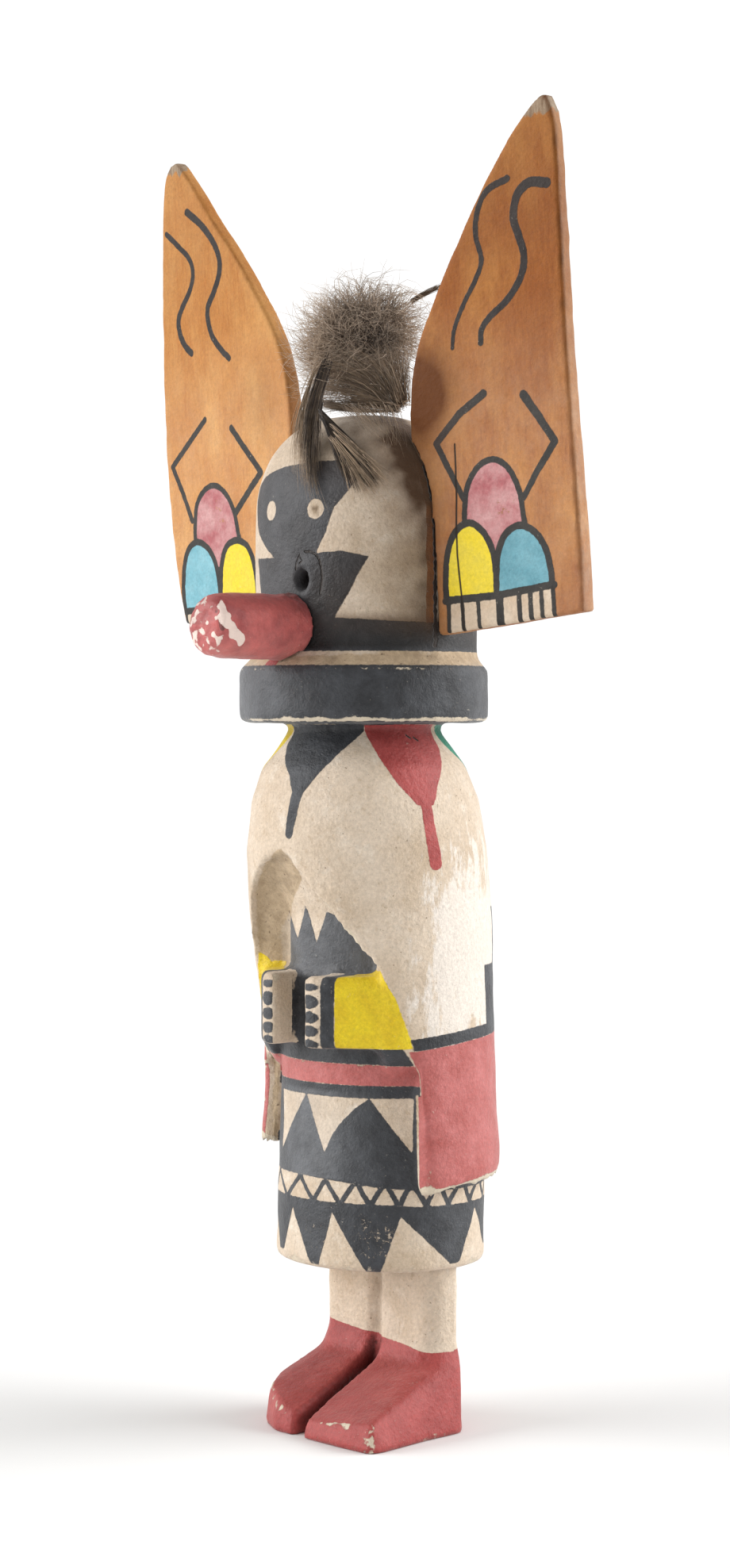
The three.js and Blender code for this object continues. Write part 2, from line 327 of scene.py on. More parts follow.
def age(add, place, shown, film, finish):  # dust on the paint, dirt with painted shade in creases and gaps, stain with painted shade, and painted light as a pale film
    dust = patches(add, place, grit(9, 2.0), 0.42, 0.62, 0.0, 0.5)
    fine = patches(add, place, grit(0.7, 3.0, 0.6), 0.66, 0.76)
    shown = coat(add, shown, add("Math", {"operation": "MULTIPLY", 0: fine, 1: dust}), "#cfc4b4", film)
    # painted shade and dirt: a dark brown multiply in creases, gaps and the drilled mouth
    hollow = add("Attribute", {"attribute_name": "hollow"}, "Fac")
    shown = coat(add, shown, hollow, "#6a523c", finish["shadeAndDirtDepth"], "MULTIPLY")
    # stain, and painted shade where the field carries shade and shadow
    stain = add("Attribute", {"attribute_name": "stain"}, "Fac")
    soaked = scattered(add, place, grit(3, 5.0), 0.22, add("Math", {"operation": "SUBTRACT", 0: stain,
                                                                    1: 0.11}))
    stained = add("MapRange", {"Value": stain, "From Min": 0.0, "From Max": 0.12})
    soaked = add("Math", {"operation": "MULTIPLY", "use_clamp": True, 0: soaked, 1: stained})
    lies = add("Math", {"operation": "MULTIPLY_ADD", 0: film, 1: finish["over"] - 1,
                        2: 1.0})  # over paint too
    shown = coat(add, shown, soaked, finish["stain"], lies)
    # painted light: a pale film laid where the lamps glint or light falls
    bloom = add("Math", {"operation": "MULTIPLY", 0: add("Attribute", {"attribute_name": "bloom"}, "Fac"),
                         1: patches(add, place, grit(4, 6.0, 0.7), 0.3, 0.7, 0.6, 1.4)})
    return coat(add, shown, bloom, finish["bloom"], lies)


def paintMaterial(name, ground, layers, wearTo, finish):  # ground gives the colour under every paint
    material, add, place = emptyMaterial(name)
    shown, film = brushOn(add, place, ground(add, place), layers, finish["ragged"])
    grain = grit(0.8, 6.0, 0.75)  # brushed earth paint dries in grains of under a millimetre
    mottle = patches(add, place, grain, 0.25, 0.75, 1 - finish["mottle"], 1 + finish["mottle"])
    shown = add("VectorMath", {"operation": "SCALE", 0: shown, "Scale": mottle})
    edgeWear = add("Attribute", {"attribute_name": "edgeWear"}, "Fac")
    worn = scattered(add, place, grit(1.25, 8.0, 0.75), finish["patchy"], edgeWear)
    worn = add("MapRange", {"Value": worn, "From Min": finish["wearFrom"],
                            "From Max": finish["wearFrom"] + 0.1})
    shown = age(add, place, coat(add, shown, worn, wearTo), film, finish)
    split = add("Attribute", {"attribute_name": "split"}, "Fac")
    crack = add("MapRange", {"Value": split, "From Min": 0.34, "From Max": 0.14})
    height = scattered(add, place, grit(0.45, 3.0), 0.3, scattered(add, place, grit(1.4, 5.0, 0.6), 1.0,
                                                                   0.0))
    for raised, amount in ((film, 0.2), (worn, -0.25), (crack, -1.2)):
        height = add("Math", {"operation": "MULTIPLY_ADD", 0: raised, 1: amount, 2: height})
    bare, painted = finish["roughBare"], finish["roughPaint"]
    rough = add("Math", {"operation": "MULTIPLY_ADD", 0: film, 1: painted - bare, 2: bare - 0.06})
    finishMaterial(add, coat(add, shown, crack, "#2a211b"), scattered(add, place, grain, 0.12, rough),
                   height,
                   (finish["bump"], 0.5 * mm),
                   {"IOR": 1.5, "Specular IOR Level": finish["shine"], "Sheen Weight": finish["dust"]})
    return material


def chalkyGround(add, place):  # kaolin over cottonwood: cream, browned in patches, flecked with dirt
    shown = twoColours(add, patches(add, place, grit(16, 6.0, 0.6), 0.4, 0.7),
                       (paints["kaolinWhite"], paints["kaolinStain"]))
    shown = coat(add, shown, patches(add, place, grit(5, 6.0, 0.7), 0.56, 0.72), "#e0d6c8", 0.55)
    shown = coat(add, shown, patches(add, place, grit(1.3, 3.0), 0.58, 0.8), "#b39c80", 0.7)
    shown = coat(add, shown, patches(add, place, grit(0.75, 2.0, 0.4), 0.71, 0.77), "#6f573e", 0.65)
    # thick white wash and painted light: paler streaks on the side facing the right lamp
    washAndLight = add("Attribute", {"attribute_name": "thickWash"}, "Fac")
    thick = scattered(add, alongGrain(add, place, 0.3), grit(4, 6.0, 0.7), 1.0,
                      add("Math", {"operation": "MULTIPLY", 0: washAndLight, 1: 0.34}))
    thick = add("MapRange", {"Value": thick, "From Min": 0.62, "From Max": 0.7})
    washAndLightShare = add("MapRange", {"Value": washAndLight, "From Min": 0.02, "From Max": 0.2, "To Max": 0.85})
    shown = coat(add, shown, thick, "#e3dad0", washAndLightShare)
    wood = twoColours(add, patches(add, place, grit(3, 6.0), 0.35, 0.7), (paints["bareRoot"], "#a38e73"))
    wood = coat(add, wood, patches(add, place, grit(1.0, 2.0, 0.4), 0.68, 0.74), "#5a4634", 0.7)
    return bareWhere(add, place, grit(2.2), 1.6, (1.0, 0.5), shown, wood)


def bareWhere(add, place, pattern, amount, reach, shown, wood):
    bare = scattered(add, place, pattern, amount, add("Attribute", {"attribute_name": "bareWood"}, "Fac"))
    bare = add("MapRange", {"Value": bare, "From Min": reach[0], "From Max": reach[1]})
    return add("Mix", {"data_type": "RGBA", 0: bare, 6: shown, 7: wood}, 2)


def stainedGround(deep, mid, pale):  # orange stain soaked into long grain
    def ground(add, place):
        fibrePlace, fibre = alongGrain(add, place, 0.09), grit(0.7, 6.0, 0.7)
        broad = patches(add, alongGrain(add, place, 0.4), grit(11, 6.0, 0.65), 0.4, 0.72)
        shown = twoColours(add, patches(add, fibrePlace, fibre, 0.25, 0.75), (deep, mid))
        shown = coat(add, shown, broad, pale, 0.7)
        shown = coat(add, shown, patches(add, place, grit(22, 3.0), 0.45, 0.7), deep, 0.45)
        shown = coat(add, shown, patches(add, place, grit(0.6, 3.0, 0.6), 0.62, 0.75), "#7a4a24", 0.35)
        weathered = twoColours(add, patches(add, fibrePlace, fibre, 0.35, 0.65), ("#7e6a54", "#b3a28a"))
        return bareWhere(add, place, grit(2.0), 2.0, (1.2, 0.6), shown, weathered)
    return ground


carving = {
    "voxel": 0.98, "softness": 8, "waves": 0.2, "waveSize": 9.0,
    "pockets": [[  # height and outline
        (83, [(-22, 8), (-22.6, -3), (-21.6, -6), (-19, -8.6), (-14.5, -9.6), (-12, 8)]),
        (90, [(-24, 8), (-24.4, -8), (-23.6, -11.4), (-19.4, -13.6), (-14.5, -10.4), (-12, 8)]),
        (106, [(-24, 8), (-24.2, -9), (-22.4, -13.2), (-18.6, -14), (-14.8, -11.8), (-12, 8)]),
        (113, [(-24, 8), (-24, -9), (-21.2, -15.0), (-18, -15.3), (-14, -13.4), (-12, 8)]),
        (120, [(-24, 8), (-23.6, -10), (-20.2, -17.4), (-16.5, -17.3), (-11.6, -15.6), (-10, 8)]),
        (127, [(-24, 8), (-22.4, -12), (-18, -20.0), (-14, -19.8), (-9.6, -18.4), (-8, 8)]),
        (131, [(-24, 8), (-20, -15), (-15, -22.0), (-9, -22.4), (-3, -22), (-2, 8)]),
        (135.4, [(-24, 8), (-18, -18), (-12, -23.4), (-7, -24.6), (-2.5, -24.2), (-2, 8)])], [
        (83, [(24, 8), (13.5, 8), (13.5, -9), (17, -9.6), (19, -8.6), (21.6, -6), (22.6, -3)]),
        (90, [(26, 8), (13.5, 8), (13.5, -10), (17.6, -13.2), (20.6, -14.8), (23.4, -12), (25.6, -8)]),
        (134, [(26, 8), (13.5, 8), (13.5, -10), (17.6, -13.2), (20.6, -14.8), (23.4, -12), (25.6, -8)])]],
    # height, half width, front, back
    "robe": [(50, 29.2, -20.6, 30), (65, 29.4, -20.8, 30.2), (80, 28.9, -21.2, 30.3),
             (95, 28.4, -22.5, 30.6), (108, 28.2, -25.1, 30.8), (121, 28.2, -26.6, 30.4),
             (136, 28, -27.6, 28.8), (148, 26.4, -26.4, 26.6), (155.5, 23.6, -24, 23.8),
             (160, 20.4, -20.6, 20.4), (164, 17.6, -17.8, 17.4), (167, 17.2, -17.6, 16.8)],
    # the skirt, waist and chest, in the same way
    "torso": [(39.2, 22.5, -14.5, 24.5), (42.2, 25.6, -17.6, 27.9), (56, 25.7, -17.6, 28.2),
              (78.5, 24.8, -16.8, 27.7), (89, 24.4, -16.4, 27.6), (91.5, 21.5, -16.4, 24),
              (110, 20.5, -16.4, 22), (122, 21, -17.8, 20), (129, 22, -21.2, 20), (137, 23, -26.6, 20)],
    "leftOpening": [(64, 27), (77, 26), (90, 25.2), (97, 24.3), (103, 23), (108.6, 21), (116, 16.6),
                    (122.7, 12.2), (130, 6), (136.2, 1), (137.5, -3)],
    "rightOpening": [(64, 25.6), (70, 25.6), (84, 25), (97, 23.8), (108.6, 21.4), (118, 18.4),
                     (125.6, 15.6), (130.5, 11), (133.5, 7.3), (137, 1), (138, -3)],
    "pocketEdge": [(106, -12.6), (113, -10.8), (119, -9.2), (121.5, -8), (123, -7), (127, -2), (130, 1.2),
                   (136, 0.4), (139, -1)],
    "collar": (165.4, 179.2, 18.5), "ledge": (178.9, 182.6, 26.0),
    # foot, top, radius where its paint starts
    "peg": (3.7, 198.8, 1.25, 1.75, 5.5),  # across, height, half width, half height, depth
}
maskPaint = {
    "foot": 182.4, "bandTop": 189.6,
    "boardEdge": [(182, 84.6), (215, 84.4), (225, 80.8), (232, 83), (236, 91)],
    # height and turn of its glue line
    "eyeWear": ((7.35, 215.0), 0.9, 1.3), "smudge": ((-2.2, 179.8), 1.9, 1.2),
    "left": [(17.6, 225.2), (16.4, 222), (14.3, 218.3), (12, 215), (10.2, 209.7), (7.7, 204.9),
             (13.9, 205.3), (18.9, 204.0), (17.1, 200), (15.5, 196), (12.5, 190.4), (11.8, 186)],
    "right": [(-11.2, 186), (-11.8, 190.4), (-12.6, 196.6), (-13.8, 201.3), (-14.5, 204.4), (-5.9, 204.2),
              (-8.5, 206.1), (-10.5, 207.7), (-13.4, 210), (-15.3, 212.4), (-16.2, 215), (-16.4, 218),
              (-15.9, 221.4), (-13, 223.3), (-9.3, 224.4), (-4, 225.4), (4, 226), (12, 226.2)],
    "leftEye": ((7.35, 215.0), 2.2, 2.3), "rightEye": ((-7.45, 215.3), 1.95, 2.3),
    "cracks": [([(4.4, 205.2), (6.2, 205.2), (8.0, 204.2), (8.9, 201.8), (9.2, 199), (8.8, 195.6)], 0.35),
               ([(2.9, 204.6), (2.1, 202.9), (1.9, 201.2)], 0.2), ([(2.9, 202.6), (3.9, 203.2)], 0.1)],
}
pendants = {  # its edge, its hanging tail and the tail's width at both ends, as turn and height
    "charcoalField": ([(-22, 167), (-22, 164.5), (-21, 161), (-12, 158), (-1, 154), (5.0, 149.6),
                       (11.4, 149.6), (18.9, 154.1), (30.3, 159.5), (44.7, 164.1), (44.7, 167)],
                      [(8.2, 150), (6.2, 145), (4.6, 140.3)], (3.0, 2.1)),
    "redField": ([(44.7, 167), (44.7, 164.1), (50.4, 160.4), (62.1, 152.3), (72.4, 147), (82, 147),
                  (87, 151.2), (95, 155.4), (104, 160), (106, 164.9), (106, 167)],
                 [(77.4, 147.4), (79, 140), (81.2, 133.6)], (2.6, 3.1)),
    "greenField": ([(111, 167), (110, 164.9), (113, 161.4), (122, 158.2), (132, 155.2), (144, 151.4),
                    (158, 147.6), (166, 147.6), (176, 151), (188, 157), (200, 164.6), (200, 167)],
                   [(162, 148.4), (164, 141), (167, 135)], (2.6, 3.0)),
    "blueField": ([(200, 167), (200, 164.6), (208, 158), (220, 151.4), (231, 148), (238, 148), (247, 152),
                   (258, 158), (268, 164.6), (268, 167)], [(234.5, 148.6), (233, 141), (230, 135.4)],
                  (2.6, 3.0)),
    "yellowField": ([(268, 167), (268, 164.6), (276, 157), (288, 151), (297, 148), (304, 148), (315, 152.6),
                     (328, 159), (338, 164.6), (338, 167)], [(300.5, 148.6), (302, 141), (304, 136)],
                    (2.6, 3.0)),
}
robePaint = {
    "lineTurn": [60, 71, 86, 107, 122, 180], "lineFoot": [90.0, 90.4, 91.3, 92.4, 92.9, 93.6],
    "lineWidth": 2.8,
    "cuts": [[(76.5, 163.1), (79.5, 162.4)], [(82.5, 162.6), (85.6, 161.8)]],
    "steps": [(95, 109.3, 63), (108.6, 122.6, 49), (122, 131, 22)],  # foot, top, half turn from the back
}
waistPaint = {
    "teeth": [(-30, 116), (-19, 121), (-15.4, 115), (-9.0, 121.6), (-6.1, 115.2), (-1.4, 123.4), (1, 114.7),
              (4.9, 122.2), (8, 121), (14, 122), (30, 122)],
    "sash": (79.1, 82.0, 86.9, 91.3),
    "nails": [(105.2, 0.9), (101.8, 1.65), (98.2, 1.35), (95.0, 1.3), (92.0, 1.15)],
}
skirtPaint = {
    "upper": [(-150, 66), (-128, 79.3), (-100, 66), (-82, 79.3), (-60, 65.5), (-60, 79.3), (-38, 79.3),
              (-35.5, 65), (-7.3, 79.4), (9.4, 66), (15, 70.3), (22, 73.7), (30, 76.7), (39, 79.1),
              (62.6, 66.4), (63.2, 79.3), (92, 79.3), (105, 66), (128, 79.3), (150, 66), (172, 79.3)],
    "bandTop": [(-180, 60.2), (-10, 60.2), (16, 59.7), (36, 58.9), (53, 58.3), (67, 57.8), (85, 57.6),
                (180, 58)],
    "bandFoot": [(-180, 54.6), (-10, 54.6), (30, 54.7), (50, 54.6), (65, 54.1), (95, 54.0), (180, 54.4)],
    "zigzagHeights": (54.3, 59.9),
    "zigzagTurns": [-176, -163, -151, -139, -127, -114, -101, -88, -76, -64, -52, -40, -26, -10.9, 1, 10.6,
                    21, 31, 39.6, 47.8, 55.3, 62, 70.2, 77, 83.5, 93, 100, 109, 118, 128, 138, 149, 160,
                    171, 182],
    "lowerCream": [(-180, 52), (-150, 52), (-121, 52), (-88, 52), (-54, 52), (-19.3, 52), (15.8, 52.3),
                   (56.2, 51.8), (105.5, 52.4), (146, 52), (180, 52)],
    "lowerTips": [(-165, 40), (-135, 40), (-104, 40), (-71, 40), (-33, 41.4), (2.7, 39.6), (41.6, 38.2),
                  (88, 40.2), (122, 43), (163, 40)],
}
scuffs = [  # path over the boots, reach, strength
    ([(2, -22, 4.4), (11, -22.6, 4.7), (17, -22.4, 5.0)], 1.2, 0.78), ([(15, -22.6, 4.2), (20, -22.8, 3.6),
                                                                        (24, -22.8, 3)], 2.0, 0.56),
    ([(24.2, -22, 5.6), (25.2, -23.4, 0)], 1.4, 0.7), ([(25, -9, 0.3), (25, 7, 0.9)], 1.0, 0.5),
    ([(20.6, -2.6, 13.6), (19.4, -7.4, 10.6)], 1.5, 0.55),
    ([(-18.6, -10.4, 9.6), (-14.6, -17.2, 8.0), (-8.4, -21, 5.8), (-3, -21.8, 4.2)], 1.7, 0.62),
    ([(-3, -21.8, 4.2), (-1.6, -22.4, 0.4)], 0.7, 0.4)]

perDegree = 0.42  # millimetres round the figure for each degree of turn
halfSize = {"robe": 28, "torso": 22}  # turns a share of each form's half width into millimetres


def toPath(points, path):
    path = np.array(path, dtype=float)
    best = np.full(len(points), 1e3)
    for start, end in zip(path[:-1], path[1:]):
        along = end - start
        share = np.clip(((points - start) @ along) / (along @ along), 0, 1)
        best = np.minimum(best, np.linalg.norm(points - start - share[:, None] * along, axis=1))
    return best


def depthIn(points, form, power=2.1):  # millimetres inside the robe's or the torso's skin
    heights, half, front, back = np.array(carving[form]).T
    half, front, back = [np.interp(points[:, 2], heights, side) for side in (half, front, back)]
    deep = (points[:, 1] - (front + back) / 2) / ((back - front) / 2)
    square = (np.abs(points[:, 0] / half) ** power + np.abs(deep) ** power) ** (1 / power)
    return (1 - square) * halfSize[form]


def unrolled(turn, height):
    return np.column_stack([turn * perDegree, height])


def unrolledLine(pairs):
    return np.array(pairs, dtype=float) * [perDegree, 1]


def placesOn(points, normals):  # where each point lies among the figure's forms
    x, y, z = points.T
    left, right = [np.array(carving[edge]).T for edge in ("leftOpening", "rightOpening")]
    openTo = np.where(z > 138, -5, np.where(x > 0, np.interp(z, *left), np.interp(z, *right)))
    skin, offTorso = depthIn(points, "robe"), -depthIn(points, "torso")
    onRobe = within(skin - 1.6, z - 165.6, np.where(y < 4, openTo - np.abs(x) - 0.2, -far))
    inside = -onRobe
    armZone = within(91.0 - z, z - 108.9, 1.4 - offTorso, inside, y + 6)
    belowWaist = np.where(z > 46, offTorso - 1.0, -5)
    onSkirt = within(inside, -armZone, np.where(z > 79.5, np.abs(x) - openTo + 1.4, belowWaist))
    return SimpleNamespace(
        points=points, x=x, y=y, z=z, wide=np.abs(x), face=np.column_stack([x, z]),
        sideways=np.abs(normals[:, 0]), backward=normals[:, 1], upward=normals[:, 2],
        turn=turnOf(points), skirtTurn=turnOf(points, 5.0), radius=np.hypot(x, y + 0.4),
        openTo=openTo, skin=skin, offTorso=offTorso, onRobe=onRobe, inside=inside,
        armZone=armZone, onSkirt=onSkirt)


def blackOnMask(at):
    onMask = maskPaint["foot"] - at.z
    hourglass = within(area(at.face, maskPaint["left"] + maskPaint["right"]), at.y + 1)
    eyes = within(join(oval(at.face, *maskPaint["leftEye"]), oval(at.face, *maskPaint["rightEye"])),
                  at.y + 5)
    band = at.z - maskPaint["bandTop"] - 0.5 * np.sin(np.radians(at.turn * 3 + 40))
    foot, top, neck = carving["collar"]
    collar = within(at.z - top, foot - at.z, neck - at.radius)
    return join(within(join(hourglass, within(band, onMask)), -eyes, onMask), collar)


def pendantPaint(at, paint):
    edge, tail, width = pendants[paint]
    turn = at.turn % 360
    turn = np.where(turn > (345 if paint == "yellowField" else 300), turn - 360, turn)
    flat = unrolled(turn, at.z)
    return within(join(area(flat, unrolledLine(edge)), stroke(flat, unrolledLine(tail), width)), at.onRobe)


def robePaints(at):  # a dark line over a rose border, and a stepped cloud on the back
    turn = np.abs(at.turn)
    foot = np.interp(turn, robePaint["lineTurn"], robePaint["lineFoot"])
    nearRim = np.where(at.y < 4, at.openTo - at.wide - np.where(at.z > 80, 1.0, 2.6), -far)
    rim = within(at.skin - 4.2, 0.9 - at.offTorso, nearRim)
    border = within(at.z - foot, np.where(at.x > 0, join(at.onRobe, rim), at.onRobe),
                    np.where(at.x > 0, -5, at.skin - 1.7), 0.6 - at.offTorso, 50 - at.z)
    lineWidth = robePaint["lineWidth"] * rise(turn, 59, 10) ** 0.6
    line = within(at.z - foot - lineWidth, foot - at.z, at.onRobe)
    cloud = join(*[within(low - at.z, at.z - high, (180 - turn - wide) * 0.5)
                   for low, high, wide in robePaint["steps"]])
    return join(line, within(cloud, at.onRobe)), border


def chestBlack(at):
    outline = area(at.face, [*waistPaint["teeth"], (30, 104), (-30, 104)])
    besideArms = np.abs(at.x + 2) - 16.4 + np.where(at.x < 0, 3.2, -9)
    return within(outline, at.inside, at.y + 2, at.offTorso - 1.6, 106.5 - at.z, besideArms)


def handsAndCuffs(at):
    hand = within(at.armZone, at.wide - 9.7)
    cuff = within(at.armZone, 9.6 - at.wide, at.wide - 12.2)
    mirrored = np.column_stack([at.wide, at.z])
    nails = join(*[oval(mirrored, (6.8, height), 2.5, tall) for height, tall in waistPaint["nails"]])
    nails = within(nails, hand, (0.5 + at.backward) * 3)
    between = within(at.wide - 5.0, at.z - 108.5, 89 - at.z, at.offTorso - 3.6, at.y + 5)
    worn = np.where(at.x < 0, at.y + 19.4 + 0.5 * lumps(at.points, 1.6, 44), -far)
    fingerEnds = within(at.armZone, at.wide - 6.4, (0.6 - at.sideways) * 3, worn)
    handTop = within(hand, at.wide - 9.4, (0.55 - at.upward) * 3)
    return join(cuff, nails, between), join(fingerEnds, handTop)


def yellowArms(at):
    sleeve = within(at.armZone, 12.2 - at.wide)
    top = 109.3 + 3.2 * fall(at.x, -17.5, 4) - 0.6 * lumps(at.points, 2, 45)
    return join(sleeve, within(106 - at.z, at.inside, at.y + 3, at.x + 13.6, at.z - top))


def sashPaints(at):
    low, lineTop, roseTop, high = waistPaint["sash"]
    lines = join(within(low - at.z, at.z - lineTop), within(roseTop - at.z, at.z - high))
    return within(lines, at.onSkirt), within(lineTop - at.z, at.z - roseTop, at.onSkirt)


def skirtBlack(at):  # hills over a zigzag band, and hanging points under it
    flat = unrolled(at.skirtTurn, at.z)
    bandTop, bandFoot = [np.interp(at.skirtTurn, *np.array(skirtPaint[key]).T) for key in ("bandTop",
                                                                                           "bandFoot")]
    upper = area(flat, unrolledLine([(-200, 55), (-200, 66), *skirtPaint["upper"], (200, 66), (200, 55)]))
    low, high = skirtPaint["zigzagHeights"]
    zigzag = [(turn, high if k % 2 else low) for k, turn in enumerate(skirtPaint["zigzagTurns"])]
    zigzag = stroke(flat, unrolledLine(zigzag), 1.25, smooth=False)
    lowerEdge = []
    for cream, tip in zip(skirtPaint["lowerCream"], [*skirtPaint["lowerTips"], None]):
        lowerEdge.append(cream)
        if tip:
            lowerEdge += [(tip[0] - 3.2, tip[1]), (tip[0] + 3.2, tip[1])]
    lower = area(flat, unrolledLine([(-200, 57), (-200, 52), *lowerEdge, (200, 52), (200, 57)]))
    painted = join(within(upper, bandTop - at.z), within(zigzag, at.z - bandTop, bandFoot - at.z),
                   within(lower, at.z - bandFoot))
    return within(painted, at.onSkirt, at.z - 79.6, 38.2 - at.z)


def bareAreas(at):  # the ledge over the collar, the deep pocket at the doll's right, and inside the robe
    foot, top, underMask = carving["ledge"]
    ledge = within(at.z - top, foot - at.z, underMask - at.radius)
    pocketTo = np.interp(at.z, *np.array(carving["pocketEdge"]).T)
    pocket = within(at.z - 137.5, 106.4 - at.z, at.inside, at.y + 1.5, at.x - pocketTo)
    leftPocket = within(at.z - 112, 106.4 - at.z, at.inside, at.y + 1.5, 17.5 - at.x)
    lining = within(at.z - np.where(at.x > 0, 80, 106), 50 - at.z, np.where(at.x > 0, 2.6, 1.7) - at.skin,
                    1.0 - at.offTorso, at.openTo - 3.2 - at.wide, -at.armZone)
    return ledge, pocket, leftPocket, lining


def glueLine(at):  # how far round from where the left board meets the mask
    return at.turn - np.interp(at.z, *np.array(maskPaint["boardEdge"]).T)


def figureStainAndShade(at, eyeWear):  # handling and glue have browned the mask beside the boards, with painted shade from the boards and feathers over it
    beside, onMask = glueLine(at), rise(at.z, 184, 6)
    # glue and handling stain beside the boards, with painted shade from the boards
    seam = (0.5 * bell(beside, -6, 5) + 0.3 * bell(at.turn, 70, 12) + 0.9 * bell(at.turn, -80, 6)) * onMask
    seam += 0.75 * bell(beside, -8, 9) * rise(at.z, 211, 8)
    # painted shade: the mask's top darkened under the feathers
    seam += (0.75 * bell(at.turn, 68, 10) + 0.55 * bell(at.turn, 45, 30)) * rise(at.z, 219, 12)
    seam *= 0.8 + 0.6 * lumps(at.points, 3.5, 41)
    # the whole mask a little darker, more towards the doll's left: dirt and painted shade
    seam += rise(at.z, 184, 4) * (0.1 + 0.1 * rise(at.turn, 20, 50) * fall(at.turn, 170, 40))
    seam += 0.65 * np.clip(-eyeWear * 3, 0, 1) + (at.z < 21) * 0.12 * np.clip(at.upward, 0, 1)
    return np.clip(seam, 0, 1)


def figurePaintedSheen(at, chest):  # painted sheen: a pale film on the black where the lamps glint, on the collar's two sides, the chest and the skirt's hills
    collar = 0.18 * bell(at.turn, -38, 32) + 0.08 * rise(at.turn, 92, 20)
    hills = 0.16 * bell(at.skirtTurn, -4, 30) * (at.z > 60) * (at.z < 80) * (at.onSkirt < 0)
    return np.where((at.z > 165) & (at.z < 180), collar, 0) + 0.15 * (chest < 0) + hills


def figureCracks(at):  # the checks round the mouth peg, the glue line, and two cuts in the robe
    beside = glueLine(at)
    split = np.min([stroke(at.face, line, 0) + 0.12 - width / 2 for line, width in maskPaint["cracks"]],
                   axis=0)
    split = np.where(at.y < -10, split, far)
    pitted = np.abs(beside + 0.9) * 0.45 - 0.3 + 0.55 * lumps(at.points, 1.1, 42) + 0.4 * lumps(at.points,
                                                                                                5, 43)
    nearBoard = (at.z > 183) & (at.z < 234) & (np.abs(beside) < 6)
    split = np.where(nearBoard, np.minimum(split, pitted), split)
    flat = unrolled(at.turn, at.z)
    cuts = np.min([stroke(flat, unrolledLine(line), 0) for line in robePaint["cuts"]], axis=0)
    return np.where(at.onRobe < 0, np.minimum(split, cuts), split)


def figureRub(at):  # where the paint has thinned: skirt, collar foot and the sash's top line
    skirt = 0.9 * bell(at.skirtTurn, 44, 22) * bell(at.z, 47, 7)
    skirt += 0.55 * bell(at.skirtTurn, 2, 12) * bell(at.z, 47, 5)
    rubbed = skirt * (at.z < 60) + 0.5 * bell(at.z, 166.4, 1.0) * (at.radius > 24)
    return rubbed + 0.95 * bell(at.z, 86.7, 0.4) * (at.onSkirt < 0)


def figurePaint(points, normals):
    at = placesOn(points, normals)
    chest = chestBlack(at)
    lineAndCloud, border = robePaints(at)
    cuffs, bareHands = handsAndCuffs(at)
    sashLines, sashRose = sashPaints(at)
    ledge, pocket, leftPocket, lining = bareAreas(at)
    eyeWear = within(oval(at.face, *maskPaint["eyeWear"]), at.y + 5)
    glue = within(np.abs(glueLine(at) + 3.4) * 0.45 - 1.4 + 0.5 * lumps(points, 3, 46),
                  184.5 - at.z, at.z - 233)
    charcoal = join(blackOnMask(at), pendantPaint(at, "charcoalField"), lineAndCloud, chest, cuffs,
                    sashLines,
                    skirtBlack(at))
    charcoal = within(charcoal, -bareHands, -pocket, -lining, -within(glue, 189 - at.z))
    bootTop = np.where(at.x > 0, 20.2 - 0.08 * at.x - 0.6 * bell(at.x, 17, 4) * (at.y < 9),
                       20.4 - 0.11 * at.x)
    smudge = within(oval(at.face, *maskPaint["smudge"]) + 0.5 * lumps(points, 1.2, 47), at.y + 22)
    # a thick white wash, and painted light: the robe's side facing the right lamp laid paler
    thickWash = rise(at.turn, 62, 26) * fall(at.turn, 170, 40) * bell(at.z, 112, 24) * (at.onRobe < 0)
    return {
        "orangeField": glue, "charcoalField": charcoal,
        "redField": join(pendantPaint(at, "redField"), within(at.z - bootTop, at.z - 30), smudge),
        "roseField": within(join(border, sashRose), -lining),
        "yellowField": within(join(pendantPaint(at, "yellowField"), yellowArms(at)), -lining, -bareHands),
        "greenField": pendantPaint(at, "greenField"), "blueField": pendantPaint(at, "blueField"),
        "bareWood": join(ledge, pocket, leftPocket, lining, eyeWear),
        "rubbed": figureRub(at), "stain": figureStainAndShade(at, eyeWear), "bloom": figurePaintedSheen(at, chest),
        "split": figureCracks(at),
        # the legs' right edge paler: painted light
        "thickWash": thickWash + 0.16 * rise(at.x, 14, 4) * (at.z < 38) * (at.z > 21)}


def crispBoots(mesh):  # the boots keep their knife-cut edges and flat soles, with fuller wood at the toes
    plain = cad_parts["figure"].data
    cut = BVHTree.FromPolygons([v.co for v in plain.vertices], [tuple(p.vertices) for p in plain.polygons])
    points = pointsOf(mesh)
    for k in np.nonzero(points[:, 2] < 15)[0]:
        edge = np.array(cut.find_nearest(mesh.vertices[k].co)[0]) / mm - middle
        points[k] += (edge - points[k]) * 0.85 * min(1, (15 - points[k][2]) / 4)
    x, y, z = points.T
    toe = fall(y, -4, 16) * fall(z, 16, 10)
    points[:, :2] += toe[:, None] * np.column_stack([np.clip((x + 3) / 16, 0.3, 1) * 1.4,
                                                     np.full(len(x), -1.8)])
    points[:, 2] = np.maximum(z - 0.85 * fall(z, 3, 3), 0)
    setPoints(mesh, points)


def mouthPeg(points):  # distance from the drilled hole in front of the mask
    across, height, halfWide, halfTall, _ = carving["peg"]
    return oval(points[:, [0, 2]], (across, height), halfWide, halfTall)


